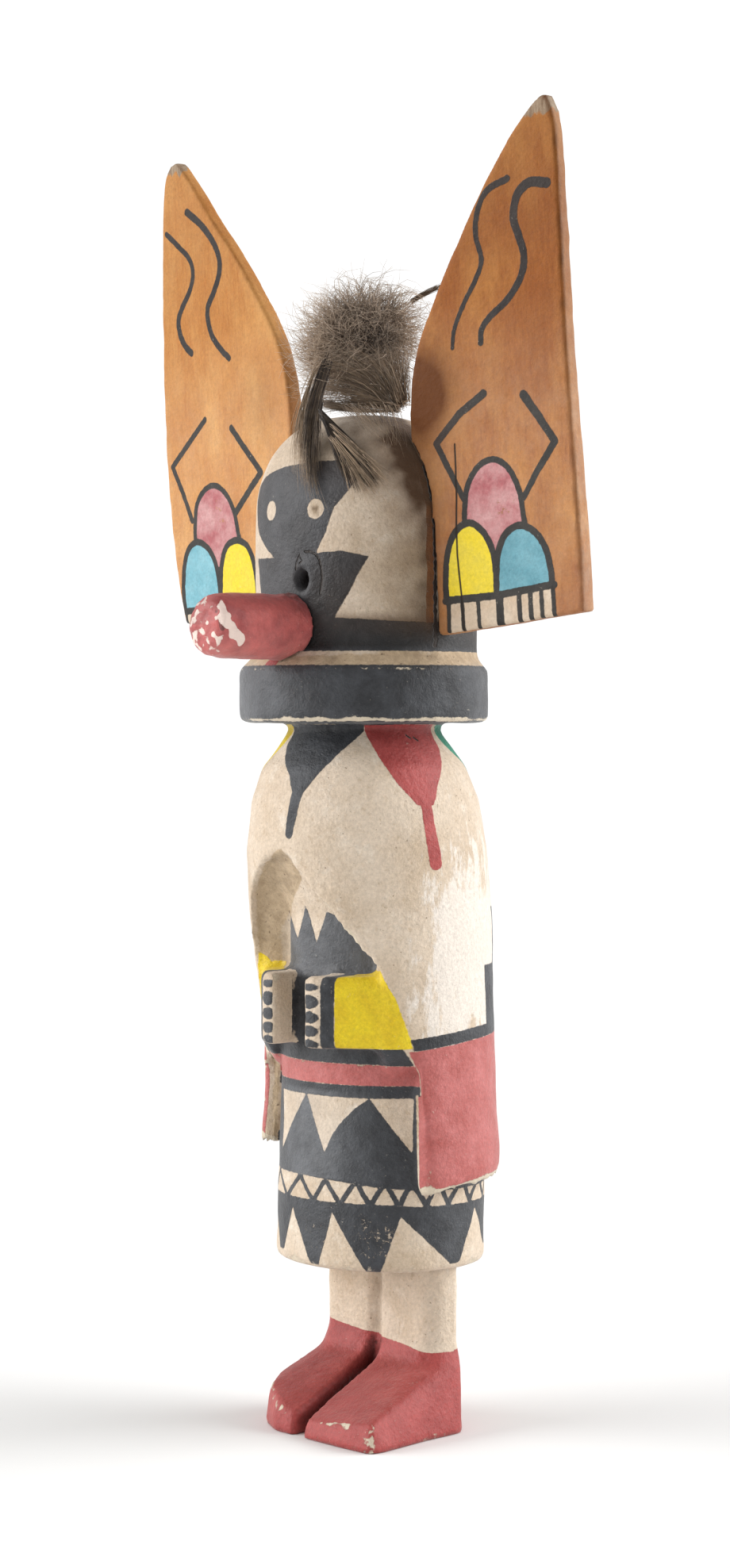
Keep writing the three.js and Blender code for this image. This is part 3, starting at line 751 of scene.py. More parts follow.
def carveFigure(mesh):  # knife waves, the drilled mouth, the robe's loose hem and the skirt's rim
    points, normals = pointsOf(mesh), normalsOf(mesh)
    x, y, z = points.T
    level = np.abs(normals[:, 2])
    ground = np.clip(z / 3, 0, 1)
    knife = lumps(points, carving["waveSize"], 1) + 0.5 * lumps(points, carving["waveSize"] / 2.4, 2)
    inward = knife * carving["waves"] * ground - 0.12 * ground
    hole, onFront = mouthPeg(points), y < -12
    inward += onFront * 0.3 * bell(hole, 1.6, 0.8)
    for line, _ in maskPaint["cracks"]:
        inward -= onFront * 0.22 * bell(stroke(points[:, [0, 2]], line, 0), 0, 0.55)
    offTorso = -depthIn(points, "torso")
    onHem = fall(depthIn(points, "robe"), 5.6, 1.2) * rise(offTorso, 0.4, 0.8) * (z > 50) * (z < 110)
    outward = 0.8 * bell(z, 64, 8) + 0.9 * (x < -18) * (y < 2) * fall(z, 92, 8)
    inward += onHem * outward * (level < 0.7)
    skirtRim = bell(z, 41, 2.2) * rise(offTorso / halfSize["torso"], -0.16, 0.1) * (z > 36)
    inward += 0.5 * skirtRim * (level < 0.9)
    droop = -2.2 * onHem * fall(z, 74, 14) * bell(turnOf(points, 5.0), 62, 15) - 1.15 * skirtRim * (z < 46)
    points = points + normals * inward[:, None]
    points[:, 2] += droop
    drilled = np.clip((0.9 - hole) / 2.0, 0, 1)
    depth = carving["peg"][4] * drilled * drilled * (3 - 2 * drilled)
    points[:, 1] += np.where(onFront & (points[:, 1] < -16), depth, 0)
    points[:, 2] = np.maximum(points[:, 2], 0)
    setPoints(mesh, points)
    return hole, onFront


def frayedHem(points, skin):  # the border's lowest edge all round, and how near each point lies to it
    x, y, z = points.T
    turn = turnOf(points, 5.0)
    onBorder = (skin < 2.6) & (z > 55) & (z < 75) & (np.hypot(x, y - 5) > 24.6)
    steps = np.arange(-180, 181, 6)
    hem = [np.min(z[onBorder & (np.abs((turn - step + 180) % 360 - 180) < 6)],
                  initial=80) for step in steps]
    return onBorder * np.clip(1.25 - (z - np.interp(turn, steps, hem)) / 1.6, 0, 1)


def figureWear(points, bend, hole):  # bare edges on the collar's rims, the hem and the boots
    x, y, z = points.T
    wear = np.clip(bend * 9, 0, 1) * (0.75 + 0.5 * lumps(points, 6, 5)) * (hole > 4)
    wear *= np.where(z < 24, 0.25 * (np.abs(x) > 5), 1)
    scuffed = np.max([strength * np.clip(1.5 - toPath(points, path) / reach, 0, 1)
                      for path, reach, strength in scuffs], axis=0)
    collarRim = (bell(z, 166.3, 0.75) + bell(z, 178.6, 0.7)) * (np.hypot(x, y + 0.4) > 28.2)
    flakes = 0.94 * (0.72 + 0.6 * lumps(points, 0.9, 48))
    return wear + scuffed * flakes + 0.62 * frayedHem(points, depthIn(points, "robe")) + 0.36 * collarRim


def figureShadeAndDirt(points, normals, bend, hole, onFront, black):  # painted shade and dirt: darker in creases, in the drilled mouth and between the boots, and painted shade low on the mask
    x, y, z = points.T
    inPocket = (x < -6) & (z > 106) & (z < 138) & (y < 0)
    aboveLedge = rise(z, carving["ledge"][1], 0.6)
    # painted shade: the mask's low black band and the black beside the snout are darkened as if under the
    # snout
    lowMaskShade = np.maximum(0.8 * fall(z, 191.5, 2),
                      0.75 * rise(x, 4, 4) * fall(z, 207, 10) * (black < 0)) * aboveLedge
    # painted shade: the boots' inner sides are darkened in the gap between them
    gapShade = (z < 20) * np.clip((3.6 - np.abs(x)) / 1.2, 0, 1) * (np.abs(normals[:, 0]) > 0.5)
    # darker in creases: dirt and painted shade
    hollow = (0.75 * gapShade - bend * 6) * np.where(inPocket, 0.25, 1)
    # painted shade inside the drilled mouth
    return np.clip(hollow + onFront * 1.8 * np.clip(0.5 - hole, 0, 1) + lowMaskShade, 0, 1)


def makeFigure():
    mesh = carvedCopy("figure", "carved_figure", carving)
    crispBoots(mesh)
    points = pointsOf(mesh)
    fields = figurePaint(points, normalsOf(mesh))
    peg = np.where(points[:, 1] < -12, mouthPeg(points), 9)
    paintEdges = [fields[k] for k in ("charcoalField", "redField", "roseField", "yellowField", "split")]
    finerNearPaint(mesh, [*paintEdges, np.maximum(peg - 1.5, 0)], 0.9)
    hole, onFront = carveFigure(mesh)
    points, normals, bend = pointsOf(mesh), normalsOf(mesh), rounding(mesh)
    fields = figurePaint(points, normals)
    onBoots = (points[:, 2] < 20) * (np.abs(points[:, 0]) > 6)
    fields["rubbed"] += 0.6 * np.clip(bend * 12, 0, 1) * onBoots
    fields["edgeWear"] = figureWear(points, bend, hole)
    fields["hollow"] = figureShadeAndDirt(points, normals, bend, hole, onFront, fields["charcoalField"])
    writeFields(mesh, fields)
    mesh.materials.append(paintMaterial(
        "kaolinAndEarthPaints", chalkyGround,
        [("orangeField", ("#7c4520", "#a06430"), 0.06),
         ("yellowField", (paints["limoniteYellow"], paints["limoniteDeep"]), -0.02),
         ("greenField", (paints["copperGreen"], "#178a6b"), 0.0),
         ("blueField", (paints["skyBlue"], "#7fb6c2"), 0.0),
         ("redField", (paints["ironRed"], paints["ironRedPale"]), 0.0),
         ("roseField", (paints["roseRed"], paints["roseRedPale"]), 0.0),
         ("charcoalField", (paints["charcoal"], paints["charcoalRubbed"]), 0.0)],
        "#cdbfa9", {"ragged": 0.55, "patchy": 0.6, "wearFrom": 0.85, "shadeAndDirtDepth": 0.9, "bump": 0.75,
                    "mottle": 0.22,
                    "roughBare": 0.85, "roughPaint": 0.5, "over": 1.0, "dust": 0.2, "shine": 0.34,
                    "stain": "#4f3a28", "bloom": "#b4b6ba"}))
    print("figure carved and painted,", triangles(mesh), "triangles")


makeFigure()


boards = {  # shapes are out from the mask and up from the foot; strokes carry their width
    "voxel": 0.55, "softness": 3, "sweep": math.radians(7), "lean": math.radians(3.5),
    "foot": (0, -6, 190.6),
    "left": {
        "lines": [
            ([(50.3, 97), (44.6, 94.8), (41.8, 90.4), (41.2, 85.1), (42.5, 79.6), (40.7, 75.3),
              (37.1, 70.2), (34.4, 65), (33.5, 60.6)], (1.7, 1.1)),
            ([(61, 95), (56.3, 95.5), (52.9, 93), (51.8, 88.1), (53.2, 83.6), (54.3, 79.4), (53.2, 75.1),
              (49.5, 70.4), (44.3, 66.8), (41.9, 64.1), (41.6, 61.2)], (2.4, 1.5)),
        ],
        "bentLines": [
            ([(41.8, 49.8), (34.9, 45.7), (28, 39.2), (31.1, 33.6), (35.3, 26.3)], (2.0, 1.5)),
            ([(52.8, 48.9), (56.7, 43.9), (61, 38.1), (55.7, 31.5), (52, 26)], (2.2, 1.5)),
            ([(29, 3.2), (43.3, 4.2), (59.6, 6.3)], 1.7),
            ([(29.9, 3.2), (29.8, -3.6)], 1.2), ([(33.7, 3.4), (34.0, -3.4)], 1.1),
            ([(38.2, 3.6), (38.5, -3.1)], 1.1),
            ([(44.3, 4.2), (44.4, -2.4)], 2.2), ([(49.7, 4.8), (49.9, -2)], 1.3),
            ([(52.8, 5.2), (53, -1.8)], 1.3),
            ([(55.8, 5.6), (56, -1.4)], 1.2), ([(59.1, 6.2), (59.3, -1.2)], 1.2),
        ],
        "redArch": [(35.3, 19), (35.4, 24), (36.6, 29.5), (39.8, 33.6), (44.2, 34.9), (48.1, 32.6),
                    (50.8, 27.5), (51.7, 22), (51.7, 19.4), (47.4, 16.5), (43.8, 13), (40.3, 16)],
        "yellowArch": [(29.3, 3.4), (29.4, 9), (30.2, 14.6), (32.6, 19), (36.4, 20.9), (40.2, 18.9),
                       (42.8, 14.6), (43.6, 9), (43.4, 4.2)],
        "blueArch": [(43.4, 4.2), (43.7, 9), (44.4, 14), (46.8, 18.2), (50.8, 19.8), (54.9, 18), (57.6, 14),
                     (58.8, 9), (59, 6.3)],
        "rain": [(29.4, 3.2), (43.4, 4.2), (59.2, 6.3), (59.4, -1.4), (44, -2.8), (29.4, -4.2)],
        # painted shade: the left board's blue and orange are deeper and its shadow patch stronger than the
        # right board's, as it stands in more shade
        "redRub": (47, 24), "tip": 110.5, "darkTip": 0.3, "shadeBesideHead": 0.15, "blue": ("#568e9c", "#6fa3b0"),
        "corner": 0.85, "ballShadow": ((24, 50.5), 8.5, 10, 1.5), "orange": ("#8a4a1b", "#a9682b", "#c68a47"),
        "split": [(34.4, -5), (34.0, -3.8), (33.7, 4.4), (32.9, 13.5), (32.9, 20.1), (33.3, 27),
                  (33.3, 39)],
    },
    "right": {
        "lines": [
            ([(66.5, 97.3), (61.5, 93.7), (57.3, 90.3), (55.9, 86.6), (57.3, 82.8), (61.1, 78.8),
              (63.1, 75.7), (62.8, 72.1), (60.9, 69.1), (58.3, 67.1)], (1.5, 1.9)),
            ([(57, 101.6), (51.1, 97.6), (46.7, 93.2), (44.4, 88.8), (44.7, 85), (47.4, 81), (50.1, 77.7),
              (50.4, 74.4), (49, 70.4), (45.6, 66.9), (42.4, 64.5)], (2.0, 1.7)),
        ],
        "bentLines": [
            ([(53.9, 50.2), (61.7, 44.8), (69, 39.5), (65.2, 32.9), (61.6, 25.7)], 1.6),
            ([(42.9, 47.4), (36.1, 40.6), (31.5, 36), (36.8, 31.7), (43, 26.6)], 1.8),
            ([(66.4, 3.1), (51.1, 3.9), (35, 4.8)], 1.7),
            ([(66.2, 3.2), (66.2, -1.8)], 1.2), ([(61, 3.4), (61.2, -2.2)], 1.2),
            ([(56, 3.6), (56.1, -2.6)], 1.2),
            ([(50.9, 4), (51, -3)], 2), ([(45.6, 4.3), (45.6, -3.4)], 1.2),
            ([(40.6, 4.6), (40.5, -3.8)], 1.2),
            ([(35.4, 4.8), (35.3, -4)], 1.2),
        ],
        "redArch": [(60.7, 19.4), (60.4, 24.5), (59.2, 29.6), (55.8, 32.9), (51.2, 33.9), (46.6, 31.6),
                    (43.6, 27.4), (42.2, 22), (42.1, 19.4), (46.8, 17), (51.2, 13), (56, 17)],
        "yellowArch": [(51.1, 3.9), (50.8, 9), (49.8, 14.4), (47.3, 18.6), (43.2, 20), (39, 18.6),
                       (36.4, 14.6), (35.3, 9), (35, 4.8)],
        "blueArch": [(66.6, 3.1), (67, 9), (66, 14.6), (63.6, 18.8), (59.6, 20.3), (55.2, 18.4),
                     (52.4, 14.4), (51.3, 9), (51.1, 3.9)],
        "rain": [(66.5, 3.2), (51.1, 3.9), (35.2, 4.8), (35.2, -4), (51, -3), (66.4, -1.8)],
        # painted light: the right board's blue and orange are paler, as it faces the left lamp
        "redRub": (50, 27), "tip": 111.5, "darkTip": 0.2, "shadeBesideHead": 0, "blue": ("#6ba5b3", "#84b6c2"),
        "corner": 0.4, "ballShadow": ((30, 52), 7, 10, 0.25), "orange": ("#b06c2e", "#c68a46", "#d8a463"),
        "split": None,
    },
}


def earPaint(points, normals, side, paint):
    sweep, lean = boards["sweep"], boards["lean"]
    across = np.array([math.cos(sweep), side * math.sin(sweep), 0])
    up = np.array([side * math.sin(sweep) * math.sin(lean), -math.cos(sweep) * math.sin(lean),
                   math.cos(lean)])
    fromFoot = points - np.array(boards["foot"])
    out, high = side * (fromFoot @ across), fromFoot @ up
    spots = np.column_stack([out, high])
    facing = normals @ np.cross(across, up)
    frontOnly = (0.35 - facing) * 2
    red, yellow, blue = [area(spots, paint[key], smooth=True) for key in ("redArch", "yellowArch",
                                                                          "blueArch")]
    outlines = join(within(np.abs(red) - 0.75, -join(yellow, blue)), np.abs(yellow) - 0.85,
                    np.abs(blue) - 0.85)
    lines = join(outlines, *[stroke(spots, line, width) for line, width in paint["lines"]],
                 *[stroke(spots, line, width, smooth=False) for line, width in paint["bentLines"]])
    # painted shadow: a soft dark brown patch where the down ball shades the board
    (shadowOut, shadowHigh), wide, tall, strength = paint["ballShadow"]
    stain = strength * bell(out, shadowOut, wide) * bell(high, shadowHigh, tall)
    stain *= np.clip(facing * 2, 0, 1) * (0.9 + 0.15 * lumps(points, 5, 3))
    # darker towards the top; on the left board also painted shade low along its inner edge beside the head
    stain += 0.08 + paint["darkTip"] * rise(high, 40, 50) + paint["shadeBesideHead"] * bell(out, 26,
                                                                                     5) * fall(high, 64, 16)
    split = np.full(len(points), far)
    if paint["split"]:
        line = np.array(paint["split"]).T
        beyond = np.maximum(line[1, 0] - high, high - line[1, -1])
        split = np.abs(out - np.interp(high, *line[::-1])) + np.maximum(beyond, 0) + (facing < 0.2) * 5
    rubbedOut, rubbedHigh = paint["redRub"]
    fields = {"charcoalField": lines, "redField": red, "yellowField": yellow, "blueField": blue,
              "creamField": area(spots, paint["rain"])}
    fields = {name: within(values, frontOnly) for name, values in fields.items()}
    return high, facing, {
        **fields, "stain": np.clip(stain, 0, 1), "split": split,
        "rubbed": 0.75 * bell(out, rubbedOut, 4) * bell(high, rubbedHigh, 5),
        "bareWood": paint["tip"] - high + 2.6 * lumps(points * [1, 1, 0.3], 1.6, 4)}


def makeEar(node, side, paint):
    name = node + "_board"
    mesh = carvedCopy(node, name, boards)
    fields = earPaint(pointsOf(mesh), normalsOf(mesh), side, paint)[2]
    finerNearPaint(mesh, [fields[k] for k in ("charcoalField", "split")], 0.6)
    points, normals = pointsOf(mesh), normalsOf(mesh)
    wave = 0.14 * lumps(points, 7, 8 + side) + 0.05 * lumps(points, 2.4, 18) - 0.06
    setPoints(mesh, points + normals * wave[:, None])
    points, normals, bend = pointsOf(mesh), normalsOf(mesh), rounding(mesh)
    high, facing, fields = earPaint(points, normals, side, paint)
    corner = np.clip(bend * 16 - 0.15, 0, 1) * np.clip(normals[:, 0] * 4 - 0.4, 0, 1) * np.clip(facing * 4,
                                                                                                0, 1)
    corner *= paint["corner"] * (0.8 + 0.6 * lumps(points, 6, 9))
    fields["stain"] = np.clip(fields["stain"] + corner, 0, 1)
    # painted light: the board paler low down, and on the near board's outer edge, where the lamps light it
    litEdge = np.clip(normals[:, 0] * 2 - 0.6, 0, 1) * np.clip((0.6 - facing) * 3, 0, 1) * (side > 0)
    fields["bloom"] = 0.09 * (fall(high, 72, 24) * (1 - fields["stain"]) + litEdge)
    fields["edgeWear"] = np.clip(bend * 11, 0, 1) * (0.5 + 0.7 * lumps(points, 4, 6))
    # darker in the board's creases: painted shade and dirt
    fields["hollow"] = np.clip(-bend * 7, 0, 1)
    writeFields(mesh, fields)
    mesh.materials.append(paintMaterial(
        name + "OrangeStainedCottonwood", stainedGround(*paint["orange"]),
        [("creamField", ("#cdbba6", "#bfa88f"), -0.03),
         ("redField", ("#a4585d", "#c49594"), 0.02),
         ("yellowField", (paints["limoniteYellow"], "#dcc63c"), -0.03),
         ("blueField", paint["blue"], -0.03),
         ("charcoalField", ("#1d1d1e", "#2e2d2c"), 0.0)],
        "#cfb592", {"ragged": 0.42, "patchy": 0.5, "wearFrom": 0.9, "shadeAndDirtDepth": 0.5, "bump": 0.5, "mottle": 0.2,
                    "roughBare": 0.66, "roughPaint": 0.62, "over": 0.25, "dust": 0.05, "shine": 0.22,
                    "stain": "#5c3006", "bloom": "#e6dcc8"}))
    print(name, "painted,", triangles(mesh), "triangles")


makeEar("left_ear", 1, boards["left"])
makeEar("right_ear", -1, boards["right"])


snoutShape = {
    "voxel": 0.42, "softness": 3, "length": 51.2, "height": 188,
    "streak": [(4.4, -49.8, 192.2), (6.2, -49.5, 189.1), (6.5, -47.4, 186.5), (6.4, -45.8, 184.6)],
    # paint gone
    "gouge": [(4.0, -50.2, 190.8), (5.1, -50.4, 188.6), (5.4, -50.4, 187.2)],
}


def makeSnout():
    mesh = carvedCopy("snout", "red_snout", snoutShape)
    points, normals = pointsOf(mesh), normalsOf(mesh)
    reach = -points[:, 1]
    fromEnd = snoutShape["length"] - reach
    turn = np.degrees(np.arctan2(points[:, 2] - snoutShape["height"], points[:, 0]))  # 0 to the left, 90 up
    nose = np.clip(1 - fromEnd / 6, 0, 1)
    rough = 0.26 * lumps(points, 5, 21) + (0.09 + 0.2 * nose) * lumps(points, 1.9, 22)
    gouge = bell(fromEnd, 3.4, 1.9) * bell(turn, -2, 24)
    lip = bell(fromEnd, 1.2, 1.0) * bell(turn, 12, 20)
    gumTop = bell(reach, 26.5, 3.6) * bell(turn, 62, 44) * (0.75 + 0.6 * lumps(points, 2.2, 26))
    gumFoot = bell(reach, 27.5, 3) * bell(turn, -82, 22)
    shift = rough - 0.75 * gouge + 0.35 * lip + gumTop * (0.5 + 0.5 * lumps(points, 1.2,
                                                                            23)) + 0.3 * gumFoot
    points = points + normals * (shift - 0.12)[:, None]
    setPoints(mesh, points)
    bend = rounding(mesh)
    streak = toPath(points, snoutShape["streak"]) - 0.75 * lumps(points, 1.5, 27) + 0.5 * rise(points[:, 2],
                                                                                               189, 3)
    worn = 1.3 * np.clip(1.7 - streak, 0, 1)
    worn += nose * (0.42 + 0.8 * lumps(points, 1.5, 24) + np.clip(bend * 10, 0, 0.5))
    stain = 0.2 * rise(turn, 20, 60) * rise(reach, 20, 12) + 0.75 * gumTop * (0.8 + 0.5 * lumps(points, 1.3,
                                                                                                29))
    writeFields(mesh, {
        "bareWood": far, "split": far, "redField": -far, "rubbed": 0, "thickWash": 0,
        "gumField": toPath(points, snoutShape["gouge"]) - 0.55 + 0.3 * lumps(points, 0.9, 28),
        # darker in the snout's creases: painted shade and dirt
        "edgeWear": np.clip(worn, 0, 1.2), "hollow": np.clip(-bend * 8, 0, 1),
        "stain": np.clip(stain, 0, 1),
        # painted light: the snout's underside paler, as if lit from below
        "bloom": 0.12 * np.clip(-normals[:, 2], 0, 1) + 0.03})
    mesh.materials.append(paintMaterial(
        "ironRedPaintOnSnout", chalkyGround,
        [("redField", ("#943c3c", "#c05c58"), -0.1), ("gumField", ("#562122", "#7c322f"), 0.0)],
        "#e2cdc2", {"ragged": 0.4, "patchy": 0.8, "wearFrom": 1.02, "shadeAndDirtDepth": 0.8, "bump": 0.5,
                    "mottle": 0.14,
                    "roughBare": 0.8, "roughPaint": 0.46, "over": 1.0, "dust": 0.1, "shine": 0.4,
                    "stain": "#3f1a16", "bloom": "#e0b8b0"}))


makeSnout()
print("snout painted")


# Feather points are millimetres along the doll's diagonals: to its back left, to its front left, and up.

diagonal = np.array([[0.7034, 0.7108, 0], [0.7108, -0.7034, 0], [0, 0, 1]])
rng = np.random.default_rng(7)

down = {
    "centre": (0.2, 0.5, 256.5), "core": (7.74, 7.2, 7.2), "barbs": 4600, "tufts": 90,
    "reach": [(-180, 17.0), (-150, 17.0), (-120, 14.6), (-90, 12), (-60, 12.5), (-20, 13.6), (20, 15.8),
              (50, 15.0), (90, 13.4), (120, 14.4), (150, 16.0), (180, 17.2)],  # turn from front left, reach
    "lengths": [0.74, 0.9, 1.0, 1.12, 1.3], "shares": [0.27, 0.33, 0.25, 0.11, 0.04],
    "whorl": (2.2, 11, -1.5),  # where the down whirls inward, its barbs painted darker there as shade
    "thick": 0.2,
}
bundles = {  # root, middle and tip paths, count, thickness, scatter, shade from and to
    "apron": dict(root=[(8.2, 9.0, 239.2), (6.2, 9.8, 238.9), (9.6, 8.0, 240.6)],
                  middle=[(-1, 13.5, 239.6), (-2, 13, 244), (0, 13.4, 249), (5.5, 12.6, 250),
                          (9.8, 10, 248)],
                  tip=[(-11.6, 8, 239.8), (-13, 8, 243.5), (-12, 8, 247.5), (-5.5, 11, 251), (2.5, 12, 253),
                       (10.6, 8, 256)],
                  count=820, thick=0.15, scatter=1.8, shade=(0.0, 0.6), lengths=(0.4, 1.15)),
    "quillEdge": dict(root=[(8.0, 9.4, 238.6), (4, 11, 238.3)],
                      middle=[(0, 13.2, 237.6), (-2, 12.6, 238.7)],
                      tip=[(-10.8, 9.4, 239.3), (-10.2, 8.8, 241.5)],
                      count=160, thick=0.24, scatter=0.25, shade=(0.02, 0.15)),
    "hangingDark": dict(root=[(-9, 8.5, 252.5), (-7.5, 10.5, 250), (-9.4, 12, 245.6)],
                        middle=[(-14.2, 17, 239), (-11.6, 18.5, 236)],
                        tip=[(-14.2, 20.5, 230), (-13.4, 21.5, 224), (-12.0, 22.4, 219.6),
                             (-10.9, 22, 224.5), (-10.6, 21, 232)],
                        count=470, thick=0.2, scatter=0.6, shade=(-0.2, 0.12), lengths=(0.6, 1.1),
                        start=0.35),
    "hangingPale": dict(root=[(-10, 9, 252), (-12.4, 9.5, 247)],
                        middle=[(-17, 14, 238), (-15.6, 16.5, 235.5)],
                        tip=[(-17, 17.6, 228.5), (-15.4, 19.6, 222.5), (-12.8, 21.6, 219.2),
                             (-11.2, 22.6, 218)],
                        count=150, thick=0.13, scatter=1.0, shade=(0.3, 0.9), lengths=(0.7, 1.1),
                        start=0.6),
    "wedge": dict(root=[(-10.6, 19.5, 238), (-9.8, 20.5, 236.2)],
                  middle=[(-4.2, 22.5, 231.8), (-6.8, 23, 228.4)],
                  tip=[(1.6, 25.6, 225.4), (3.4, 26.2, 221.6), (1.2, 26, 219.8), (-2.6, 25.2, 219.6),
                       (-5.6, 24.2, 223.4)],
                  count=700, thick=0.22, scatter=0.4, shade=(-0.3, 0.0), lengths=(0.7, 1.05)),
    "wedgeTips": dict(root=[(-8.6, 22, 235), (-8.4, 22.4, 231)],
                      middle=[(-2.0, 24.4, 229.6), (-4.6, 24.2, 226)],
                      tip=[(3.6, 26.6, 224.2), (4.2, 26.8, 220.8), (1.8, 26.6, 218.4), (-3.4, 25.6, 218.4)],
                      count=110, thick=0.14, scatter=0.5, shade=(0.45, 1.0), lengths=(0.95, 1.15),
                      start=0.85),
    "veil": dict(root=[(-6, 13.5, 239.2), (0, 14.5, 239), (7.4, 12.6, 239.4)],
                 middle=[(-3, 20, 236), (2.8, 21, 235.6), (9, 18, 236)],
                 tip=[(0.5, 23.6, 233.2), (3.5, 24.4, 231.4), (6.5, 24.4, 229), (10.4, 21, 229.4)],
                 count=120, thick=0.13, scatter=1.4, shade=(0.2, 0.8), lengths=(0.4, 1.1)),
    "wisps": dict(root=[(8, 9, 240)], middle=[(11, 14, 243), (12, 15, 238)],
                  tip=[(14.2, 20, 236), (15.4, 21, 235.6), (13, 18, 246)],
                  count=9, thick=0.12, scatter=0.6, shade=(0.7, 1.0)),
    "rearTip": dict(root=[(10.5, -1, 265.6), (11, -1, 264.8)], middle=[(14, 0, 268), (14.4, 0, 267)],
                    tip=[(18.4, 1, 269.4), (18.6, 1, 268.4)],
                    count=60, thick=0.2, scatter=0.22, shade=(0.0, 0.12)),
}
vanes = {  # the bundles in each feather, and the feather it stands for
    "feather_apron": (("apron", "quillEdge", "rearTip"), "quill_feather"),
    "hanging_vane": (("hangingDark", "hangingPale"), "hanging_feather"),
    "wedge_vane": (("wedge", "wedgeTips", "veil", "wisps"), "wedge_feather"),
}


def unit(vectors):
    return vectors / (np.linalg.norm(vectors, axis=-1, keepdims=True) + 1e-9)


def strandMesh(name, paths, thick, shades):  # thin three-sided barbs, tapered to a point
    count, steps, _ = paths.shape
    along = unit(np.gradient(paths, axis=1))
    side = unit(np.cross(along, rng.normal(size=(count, 1, 3))))
    other = np.cross(along, side)
    taper = np.linspace(1, 0.25, steps)[None, :, None] * np.reshape(thick, (-1, 1, 1)) / 2
    rings = [paths + taper * (math.cos(a) * side + math.sin(a) * other) for a in (0, 2.094, 4.189)]
    corners = np.stack(rings, axis=2).reshape(-1, 3)
    base = (np.arange(count)[:, None] * steps + np.arange(steps - 1)[None, :]).ravel() * 3
    walls = [np.column_stack([base + k, base + (k + 1) % 3, base + 3 + (k + 1) % 3, base + 3 + k])
             for k in range(3)]
    starts = np.arange(count) * steps * 3
    ends = starts + (steps - 1) * 3
    caps = [np.column_stack([ends, ends + 1, ends + 2]), np.column_stack([starts + 2, starts + 1, starts])]
    mesh = bpy.data.meshes.new(name)
    faces = [face for part in walls + caps for face in part.tolist()]
    mesh.from_pydata(((corners + middle) * mm).tolist(), [], faces)
    writeFields(mesh, {"barbShade": np.repeat(shades.reshape(-1), 3)})
    mesh.shade_smooth()
    return mesh


def alongPath(path, share):
    path = np.array(path, dtype=float)
    if len(path) == 1:
        return np.repeat(path, len(share), axis=0)
    spot = share * (len(path) - 1)
    low = np.clip(spot.astype(int), 0, len(path) - 2)
    return path[low] + (path[low + 1] - path[low]) * (spot - low)[:, None]


def bundlePaths(bundle, steps=7):
    count = bundle["count"]
    share = rng.random(count)
    root, mid, tip = [alongPath(bundle[key],
                                share) + rng.normal(size=(count, 3)) * bundle["scatter"] * loose
                      for key, loose in (("root", 0.35), ("middle", 0.7), ("tip", 1.0))]
    reach = rng.uniform(*bundle.get("lengths", (0.8, 1.05)), (count, 1, 1))
    start = rng.uniform(0, bundle.get("start", 0.05), (count, 1, 1))
    t = start + np.linspace(0, 1, steps)[None, :, None] * (reach - start)
    paths = (1 - t) ** 2 * root[:, None] + 2 * t * (1 - t) * mid[:, None] + t ** 2 * tip[:, None]
    shades = rng.uniform(*bundle["shade"], size=(count, 1)) + np.linspace(-0.05, 0.12, steps)[None]
    return paths @ diagonal, bundle["thick"] * rng.uniform(0.7, 1.25, count), shades


def downPaths(steps=7):
    count, tuftCount = down["barbs"], down["tufts"]
    tufts = unit(rng.normal(size=(tuftCount, 3)))
    member = rng.integers(0, tuftCount, count)
    aim = unit(tufts[member] + rng.normal(size=(count, 3)) * 0.34)
    seen = np.degrees(np.arctan2(aim[:, 2], aim[:, 0]))
    flatness = np.hypot(aim[:, 0], aim[:, 2])
    reach = np.interp(seen, *np.array(down["reach"]).T) * flatness + 12.0 * (1 - flatness)
    reach *= rng.choice(down["lengths"], count, p=down["shares"]) * rng.uniform(0.9, 1.08, count)
    root = aim * rng.uniform(2, 7.5, (count, 1)) + rng.normal(size=(count, 3)) * 1.2
    tip = aim * reach[:, None]
    lean = rng.normal(size=(tuftCount, 3))[member] + 0.7 * rng.normal(size=(count, 3))
    curl = unit(np.cross(aim, lean)) * np.minimum(rng.gamma(2.6, 3.3, count), 13)[:, None]
    tip += curl * rng.uniform(0.1, 0.75, (count, 1))
    swirl = np.cross(aim, [0.2, 1.0, 0.35]) * 3.4
    t = np.linspace(0, 1, steps)[None, :, None]
    paths = root[:, None] * (1 - t) + tip[:, None] * t + (curl + swirl)[:, None] * (t * (1 - t) * 1.6)
    wave = np.sin(t * rng.uniform(4, 9, (count, 1, 1)) + rng.uniform(0, 6, (count, 1, 1))) * t
    paths += wave * np.cross(aim, curl)[:, None] * 0.14 + rng.normal(size=paths.shape) * 0.1
    paths[:, :, 2] -= 0.6 * t[:, :, 0] ** 2 * (aim[:, None, 2] < 0.2)
    shades = rng.beta(2.2, 2.2, (count, 1)) * 0.6 + rng.uniform(-0.1, 0.25, tuftCount)[member][:, None]
    shades = shades + np.linspace(-0.2, 0.32, steps)[None]
    # painted shade: barbs darker round the whorl
    shades -= 0.45 * np.exp(-(((paths - down["whorl"]) / [4.2, 5, 3.4]) ** 2).sum(axis=2))
    # painted light: barbs paler on the ball's two sides, where the side lamps light it
    shades += 0.55 * rise(np.abs(paths[:, :, 0]), 6.5, 7)
    thick = down["thick"] * rng.uniform(0.6, 1.2, count)
    return (paths + np.array(down["centre"])) @ diagonal, thick, shades


